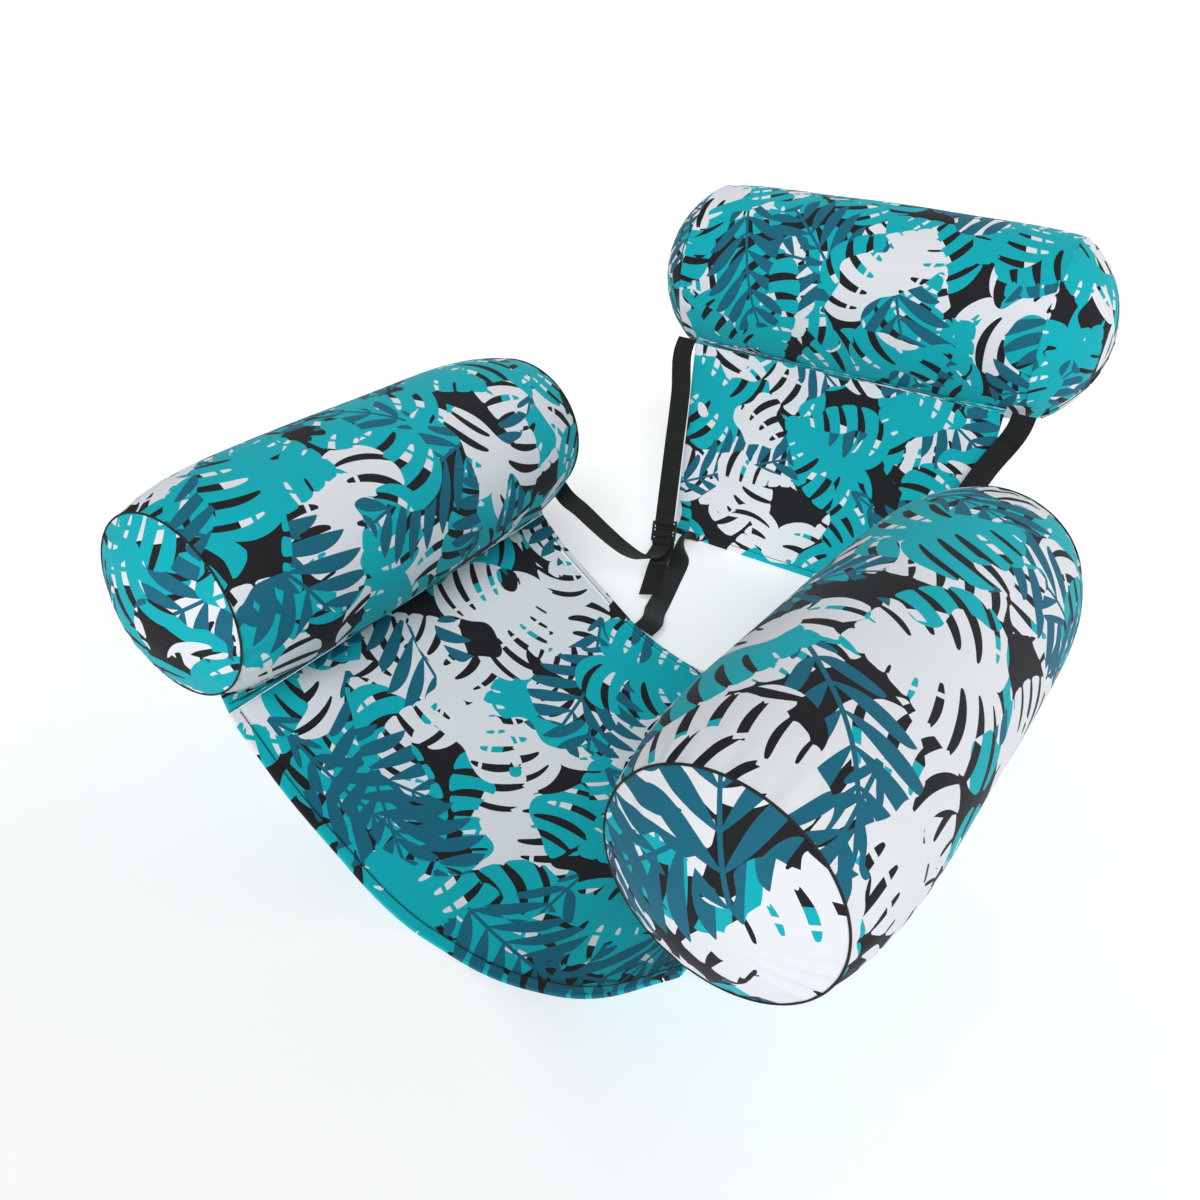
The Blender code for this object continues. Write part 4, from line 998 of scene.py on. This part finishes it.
def make_zip(bolster, seed):
    """One zip on a bolster's zip end, over the dome's own arc."""
    edge = math.sqrt((bolster.seam - ZIP_MARGIN) ** 2 - bolster.zip_offset ** 2)
    reach = math.asin(edge / math.sqrt(bolster.ball ** 2 - bolster.zip_offset ** 2))
    angle = np.linspace(-reach, reach, 72)[:, None]
    place = np.linspace(-ZIP_HALF, ZIP_HALF, 9)[None, :]
    mid = bolster.world(bolster.on_dome(bolster.zip_offset + place, angle, SEAM_GAP + ZIP_TAPE / 2))
    half = np.full(mid.shape[:2], ZIP_TAPE / 2)
    tape = slab(f"{bolster.name}_zip_tape", mid, half, half, grid(place, angle * bolster.ball))
    dressed(tape, ZIP_NYLON, bolster.name, f"{bolster.name}_zip")
    spots = np.arange(TOOTHLESS - reach, reach - TOOTHLESS, TOOTH_PITCH / bolster.ball)
    rise = SEAM_GAP + ZIP_TAPE + TOOTH_THICKNESS * TOOTH_RISE
    begin, end = (
        bolster.world(bolster.on_dome(bolster.zip_offset + sign * ZIP_COIL / 2, spots, rise))
        for sign in (-1, 1)
    )
    up = begin - bolster.world(np.array((0.0, 0.0, bolster.ball_foot)))
    teeth = rods(f"{bolster.name}_zip_teeth", begin, end, up, TOOTH_THICKNESS)
    dressed(teeth, ZIP_NYLON, bolster.name)
    for word, sign in (("first", -1), ("second", 1)):
        place = np.sort(sign * np.linspace(LIP_INNER, ZIP_HALF + LIP_LAP, 6))[None, :]
        local = bolster.on_dome(bolster.zip_offset + place, angle, SEAM_GAP + ZIP_TAPE + LIP_RISE)
        away = np.hypot(local[..., 0], local[..., 1])
        swing = np.arctan2(away, local[..., 2] - bolster.ball_foot)
        flat = normalised(local[..., :2]) * (swing * bolster.ball)[..., None]
        half = np.full(local.shape[:2], LIP_HALF)
        lip = slab(f"{bolster.name}_zip_{word}_lip", bolster.world(local), half, half,
                   flat + print_place(seed, 1))
        dressed(lip, CLOTH, bolster.name)


for bolster in BOLSTERS:
    make_zip(bolster, SEEDS[bolster.name])
print("zips:", len(BOLSTERS), "with a tooth every", round(TOOTH_PITCH * 1000, 1), "mm")

# %% [markdown]
# ## Straps
#
# The webbing runs along smooth routes through a few stations: from the headrest down through the
# ladder lock to a free tail, from the arm's rear seam to a loop round the lock's last bar, and from
# the seat's hem to the back's lower corner. A route is cut where it passes from one moving body to
# the next.

# %% Routes of the webbing
WEBBING_WIDTH, WEBBING_THICKNESS = 0.030, 0.0012
LOCK_THICKNESS, LOCK_BAR, LOCK_PITCH = 0.0025, 0.0025, 0.009
# Ladder lock: in from the arm's axis, to the rear of the arms' middle, and up from the ground
LOCK_IN, LOCK_REAR, LOCK_HEIGHT = 0.1196, 0.4464, 0.0735
# Where straps are sewn round a seam, measured from straight down, and how far they run straight
HEAD_STRAP_TURN, ARM_STRAP_TURN, STRAP_LEAD = math.radians(40), math.radians(45), 0.012
ROUTE_STEPS = 10
RIBBON_SECTION = np.array((
    (-1.0, 0.0), (-0.985, -0.7), (-0.95, -1.0), (-0.5, -1.0), (0.0, -1.0), (0.5, -1.0),
    (0.95, -1.0), (0.985, -0.7), (1.0, 0.0), (0.985, 0.7), (0.95, 1.0), (0.5, 1.0), (0.0, 1.0),
    (-0.5, 1.0), (-0.95, 1.0), (-0.985, 0.7),
))


def vector(*numbers):
    """A short numpy vector."""
    return np.array(numbers, dtype=float)


def smooth_route(stations):
    """Close points of a smooth curve through stations of (centre, direction across)."""
    points, wanted = (np.array(column) for column in zip(*stations))
    chord = np.linalg.norm(np.diff(points, axis=0), axis=1)[:, None]
    heading = np.diff(points, axis=0) / chord
    near, far = chord[:-1], chord[1:]
    middle = (heading[:-1] * far + heading[1:] * near) / (near + far)
    pull = np.concatenate((heading[:1], middle, heading[-1:]))
    t = (np.arange(ROUTE_STEPS) / ROUTE_STEPS)[None, :, None]
    blend = eased(t)
    centre = points[:-1, None] * (1 - blend) + points[1:, None] * blend
    centre = centre + (pull[:-1] * chord)[:, None] * t * (1 - t) ** 2
    centre = centre - (pull[1:] * chord)[:, None] * t * t * (1 - t)
    lean = wanted[:-1, None] * (1 - blend) + wanted[1:, None] * blend
    centre, lean = centre.reshape(-1, 3), lean.reshape(-1, 3)
    return np.concatenate((centre, points[-1:])), np.concatenate((lean, wanted[-1:]))


class Route:
    """A strap's route: its middle, the direction across it and its upright, point by point."""

    def __init__(self, centre, wanted, twist=0.0):
        along = normalised(np.gradient(centre, axis=0))
        across = normalised(wanted - (wanted * along).sum(axis=-1, keepdims=True) * along)
        twist = np.asarray(twist, dtype=float).reshape(-1, 1)
        across = across * np.cos(twist) + np.cross(along, across) * np.sin(twist)
        lift = np.abs(across[:, 2]) * WEBBING_WIDTH / 2 + WEBBING_THICKNESS / 2
        self.centre = grid(centre[:, 0], centre[:, 1], np.maximum(centre[:, 2], lift))
        self.across, self.upright = across, np.cross(along, across)
        self.run = run_of(self.centre)

    def cut(self, name, first, last):
        """The webbing between two points of the route, as one closed piece."""
        part = slice(first, last + 1)
        wide = RIBBON_SECTION[:, 0] * WEBBING_WIDTH / 2
        deep = RIBBON_SECTION[:, 1] * WEBBING_THICKNESS / 2
        rings = (self.centre[part, None] + self.across[part, None] * wide[None, :, None]
                 + self.upright[part, None] * deep[None, :, None])
        start, end = (
            np.repeat(self.centre[spot][None, None], len(wide), axis=1) for spot in (first, last)
        )
        points = np.concatenate((start, rings, end))
        girth = np.concatenate((wide, wide[:1]))
        run = np.concatenate((self.run[first:first + 1], self.run[part], self.run[last:last + 1]))
        return welded(surface(name, points, grid(girth, run[:, None]), wrap=True))


def head_strap_root(side, lead=0.0):
    """Where the head strap is sewn under the headrest's end seam, or a lead below it."""
    share = 1 - WEBBING_WIDTH / HEADREST.length
    radius = HEADREST.radius(share) + SEAM_GAP + WEBBING_THICKNESS / 2 + lead
    toward = (-math.sin(HEAD_STRAP_TURN), -math.cos(HEAD_STRAP_TURN))
    return HEADREST.seam_point(toward, side * HEADREST.length / 2, radius)


def arm_strap_root(side, lead=0.0):
    """Where the arm strap is sewn in the arm's rear seam, or a lead out from it."""
    share = 1 - 4 * WEBBING_THICKNESS / ARMS[side].length
    radius = ARMS[side].radius(share) + SEAM_GAP + lead
    toward = (side * math.sin(ARM_STRAP_TURN), -math.cos(ARM_STRAP_TURN))
    return ARMS[side].seam_point(toward, share * ARMS[side].length / 2, radius)


class LockFrame:
    """Place of a ladder lock: X across the webbing, Y up towards the headrest, Z off the lock."""

    def __init__(self, side):
        self.origin = vector(side * (ARM_SPACING / 2 - LOCK_IN), ARMS_Y + LOCK_REAR, LOCK_HEIGHT)
        up = normalised(head_strap_root(side) - self.origin)
        across = vector(1, 0, 0)
        across = normalised(across - across.dot(up) * up)
        self.axes = np.stack((across, up, np.cross(across, up)))

    def at(self, y, z):
        """World point on the lock's middle plane x = 0."""
        return self.origin + vector(0, y, z) @ self.axes


def bar_y(bar):
    """Middle of a bar along the lock, counted from the bar nearest the ground."""
    return (bar - 1.5) * LOCK_PITCH


OVER = LOCK_THICKNESS / 2 + SEAM_GAP + WEBBING_THICKNESS / 2
STEEP = OVER - SEAM_GAP * 2
FLAT_ACROSS = vector(1, 0, 0)
# Head strap: shares of its drop at two stations, the slot it leaves by, and where its tail ends
HANG_SHARES, LAST_SLOT = (0.72, 0.40), -0.86
TAIL_START, TAIL_IN, TAIL_FORWARD, TAIL_HEIGHT, TAIL_SAG = -0.0058, 0.029, 0.087, 0.019, 0.62
# Arm strap: the loop's ease, turn, ends and shares of the lock's pitch, then the slack curve
LOOP_EASE, LOOP_TURN, LOOP_ENDS = 0.0004, math.radians(-30), (-0.013, -0.008)
LOOP_SHARES = (0.55, 0.27, 0.40)
SLACK_LEAVE, SLACK_ARRIVE = (0.026, 0.050, -0.056), (0.014, -0.060, -0.027)
SLACK_SHARES = np.array((0.16, 0.32, 0.48, 0.64, 0.80))
# Link strap: height and gap at the seat's hem, inset at the back's corner, straight ends, and sag
LINK_HEIGHT, LINK_GAP, LINK_INSET, LINK_LEAD = 0.0262, 0.0009, 0.033, 0.013
LINK_TILT, LINK_OUT, LINK_SAG = 0.5, 0.002, 0.016


def head_strap_stations(side):
    """From the headrest down, over and under the bars of the lock, and out to a free tail."""
    lock = LockFrame(side)
    across, root = lock.axes[0], head_strap_root(side)
    drop = np.linalg.norm(root - lock.origin)
    leans = ((across + FLAT_ACROSS) / 2, across)
    hang = [(lock.at(drop * share, OVER), lean) for share, lean in zip(HANG_SHARES, leans)]
    slot = LOCK_PITCH * LAST_SLOT
    weave = [
        (2.6 * LOCK_PITCH, OVER), (1.5 * LOCK_PITCH, OVER), (LOCK_PITCH + STEEP / 2, STEEP),
        (LOCK_PITCH - STEEP / 2, -STEEP), (0.5 * LOCK_PITCH, -OVER), (STEEP / 2, -STEEP),
        (-STEEP / 2, STEEP), (-0.5 * LOCK_PITCH, OVER), (slot + STEEP / 4, STEEP),
        (slot - STEEP / 4, -STEEP), (bar_y(0) + LOCK_BAR, TAIL_START),
    ]
    woven = [(lock.at(y, z), across) for y, z in weave]
    last = woven[-1][0]
    end = last + vector(-side * TAIL_IN, -TAIL_FORWARD, 0)
    end[2] = TAIL_HEIGHT
    middle = (last + end) / 2
    middle[2] = last[2] * TAIL_SAG
    return [(root, FLAT_ACROSS), (head_strap_root(side, STRAP_LEAD), FLAT_ACROSS), *hang, *woven,
            (middle, across), (end, across)]


def arm_strap_stations(side):
    """From the arm's seam, hanging slack, looped up round the lock's last bar."""
    lock = LockFrame(side)
    across = lock.axes[0]
    over, steep, lap = OVER + LOOP_EASE, STEEP + LOOP_EASE, WEBBING_THICKNESS / 2 + SEAM_GAP
    leave, shoulder, turn = (LOCK_PITCH * share for share in LOOP_SHARES)
    loop = np.array((
        (LOOP_ENDS[0], -lap), (-leave, -steep), (0.0, -over), (shoulder, -steep), (turn, 0.0),
        (shoulder, steep), (0.0, over), (-leave, steep), (LOOP_ENDS[1], lap),
    ))
    cosine, sine = math.cos(LOOP_TURN), math.sin(LOOP_TURN)
    y, z = loop[:, 0] * cosine - loop[:, 1] * sine, loop[:, 0] * sine + loop[:, 1] * cosine
    looped = [(lock.at(bar_y(0) + there, off), across) for there, off in zip(y, z)]
    ring = vector(math.cos(ARM_STRAP_TURN), 0, -side * math.sin(ARM_STRAP_TURN))
    root, near = arm_strap_root(side, STRAP_LEAD), looped[0][0]
    mirror = vector(-side, 1, 1)
    corners = (root, root + mirror * SLACK_LEAVE, near + mirror * SLACK_ARRIVE, near)
    weights = [math.comb(3, power) * SLACK_SHARES ** power * (1 - SLACK_SHARES) ** (3 - power)
               for power in range(4)]
    hang = sum(weight[:, None] * corner for weight, corner in zip(weights, corners))
    lean = [ring * (1 - share) + across * share for share in SLACK_SHARES]
    return [(arm_strap_root(side), ring), (root, ring), *zip(hang, lean), *looped]


def link_stations(side):
    """From the seat's rear hem over the ground to the back's lower corner."""
    out, high = fold_line(side, SEAT_REAR_Y)
    foot, ground = SEAT_FOOT[side], CLOTH_THICKNESS / 2
    share = ((LINK_HEIGHT - ground) / (high - ground)) ** (1 / SLING_POWER[side])
    slope = SLING_POWER[side] * (high - ground) / (out - foot) * share ** (SLING_POWER[side] - 1)
    front = vector(side * (foot + (out - foot) * share), SEAT_REAR_Y + LINK_GAP,
                   LINK_HEIGHT + CLOTH_THICKNESS / 2)
    rear = vector(side * (BACK_WIDTH / 2 - LINK_INSET),
                  BACK_FOOT_Y - HEM_THICKNESS / 2 - 2 * FOLD_GAP, HEM_THICKNESS)
    straight = vector(0, LINK_LEAD, 0)
    tilted = normalised(vector(1, 0, side * slope * LINK_TILT))
    stations = [(front, tilted), (front + straight, tilted)]
    for share in (0.25, 0.50, 0.75):
        sag = vector(side * LINK_OUT, 0, -LINK_SAG) * math.sin(math.pi * share)
        centre = front + (rear - front) * share + sag
        stations.append((centre, tilted * (1 - share) + FLAT_ACROSS * share))
    return stations + [(rear - straight, FLAT_ACROSS), (rear, FLAT_ACROSS)]


print("webbing:", round(WEBBING_WIDTH * 1000), "mm wide")

# %% Cut the webbing into lengths
TWIST_PLACE = (0.60, 0.93)
HEAD_STRAP_CUTS, TAIL_CUT = (0.14, 0.60, 0.86), 0.8


def bent(route, name, first, last, bodies, node):
    """Cut a length of webbing between two points of its route, give it its finish, and hide the node
    that it stands for.
    """
    piece = route.cut(name, first, last)
    piece.data.materials.append(WEBBING)
    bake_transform(piece)
    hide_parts(node)


def make_straps(side, word):
    """The three straps of one side."""
    lock, arm = f"{word}_lock", f"{word}_arm"
    route = Route(*smooth_route(head_strap_stations(side)))
    node = f"{word}_head_strap"
    lock_top, last = ROUTE_STEPS * 4, len(route.run) - 1
    top, bottom = route.run[ROUTE_STEPS // 2], route.run[lock_top]
    marks = [int(np.abs(route.run - (top + (bottom - top) * share)).argmin())
             for share in HEAD_STRAP_CUTS]
    tail = last - ROUTE_STEPS * 2
    half = tail + int(ROUTE_STEPS * TAIL_CUT)
    stops = [0, *marks, lock_top]
    chain = (("headrest", "back"), ("back", "links"), ("links", "seat"), ("seat", lock))
    for number, stretch in enumerate(zip(stops, stops[1:], chain), 1):
        bent(route, f"{node}_length_{number}", *stretch, node)
    dressed(route.cut(f"{node}_woven", lock_top, tail), WEBBING, lock, node)
    bent(route, f"{node}_tail", tail, half, (lock, "seat"), node)
    bent(route, f"{node}_tail_end", half, last, ("seat", "links"), node)
    lengths = {"head strap": route.run[-1]}

    route = Route(*smooth_route(arm_strap_stations(side)))
    node = f"{word}_arm_strap"
    middle, loop, last = ROUTE_STEPS * 4, ROUTE_STEPS * 7, len(route.run) - 1
    bent(route, f"{node}_length_1", 0, middle, (arm, "seat"), node)
    bent(route, f"{node}_length_2", middle, loop, ("seat", lock), node)
    dressed(route.cut(f"{node}_loop", loop, last), WEBBING, lock, node)
    lengths["arm strap"] = route.run[-1]

    centre, wanted = smooth_route(link_stations(side))
    share = np.linspace(0, 1, len(centre))
    t = np.clip((share - TWIST_PLACE[0]) / (TWIST_PLACE[1] - TWIST_PLACE[0]), 0, 1)
    route = Route(centre, wanted, twist=-side * math.pi * eased(t))
    link = route.cut(f"{word}_link", 0, len(route.run) - 1)
    dressed(link, WEBBING, "links", f"{word}_link_strap")
    lengths["link strap"] = route.run[-1]
    print(word, {title: round(float(length) * 1000) for title, length in lengths.items()}, "mm")


for side, word in ((-1, "left"), (1, "right")):
    make_straps(side, word)

# %% [markdown]
# ## Floor, backdrop and light
#
# The photograph is a plain cut-out on white. A pale floor that curves up into a backdrop stands
# in for it. The light comes softly from the camera's side, so that the bolsters turn darker
# towards their upper and lower outlines and the black of the print stays black.

# %% Studio
FLOOR_DEPTH, FLOOR_GLOW = 0.0005, 0.27
# Metres: half the paper's width, its front edge, where it bends up and how widely, and its top
PAPER_HALF, PAPER_FRONT, PAPER_BEND, BEND_RADIUS, PAPER_TOP = 14, -6, 5.0, 2, 9.0
FIBRE_SIZE = 1 / 240
KEY_SIDE = (0.9, -1.9, 1.75)
KEY_STRENGTH, KEY_SPREAD = 2.25, math.radians(28)
SKY_STRENGTH = 0.20


def make_studio():
    """A floor that turns up into a backdrop, one broad soft light and a pale sky."""
    made, tree, shader = finish("matt_paper", "#F4F5F6", 0.9, Specular_IOR_Level=0.1,
                                Emission_Color=(1.0, 1.0, 1.0, 1.0), Emission_Strength=FLOOR_GLOW)
    place = add(tree, "TexCoord").outputs["Object"]
    fibre = add(tree, "TexNoise", {"Vector": place, "Scale": 1 / FIBRE_SIZE, "Detail": 3.0})
    tint = add(tree, "Mix", {"Factor": fibre.outputs[0], 6: linear("#F2F3F4"), 7: linear("#F7F8F9")},
               data_type="RGBA").outputs[2]
    tree.links.new(tint, shader.inputs["Base Color"])
    along = np.linspace(-PAPER_HALF, PAPER_HALF, 15)
    bend = np.linspace(0, math.pi / 2, 14)[1:]
    run = np.concatenate((
        np.linspace(PAPER_FRONT, PAPER_BEND, 14), PAPER_BEND + BEND_RADIUS * np.sin(bend),
        (PAPER_BEND + BEND_RADIUS,),
    ))[:, None]
    rise = np.concatenate((
        np.zeros(14), BEND_RADIUS - BEND_RADIUS * np.cos(bend), (PAPER_TOP,),
    ))[:, None]
    points = grid(along, run, rise - FLOOR_DEPTH)
    floor = surface("paper_floor", points, points[..., :2])
    floor.data.materials.append(made)
    lamp = bpy.data.lights.new("soft_window", "SUN")
    lamp.energy, lamp.angle = KEY_STRENGTH, KEY_SPREAD
    holder = bpy.data.objects.new("soft_window", lamp)
    turn = (-Vector(KEY_SIDE)).to_track_quat("-Z", "Y").to_matrix().to_4x4()
    holder.matrix_world = Matrix.Translation(KEY_SIDE) @ turn
    bpy.context.scene.collection.objects.link(holder)
    world = bpy.data.worlds.new("pale_sky")
    world.use_nodes = True
    sky = world.node_tree.nodes["Background"]
    sky.inputs["Color"].default_value = (1.0, 1.0, 1.0, 1.0)
    sky.inputs["Strength"].default_value = SKY_STRENGTH
    bpy.context.scene.world = world
    bpy.context.scene.view_settings.view_transform = "Standard"


make_studio()
print("studio ready")
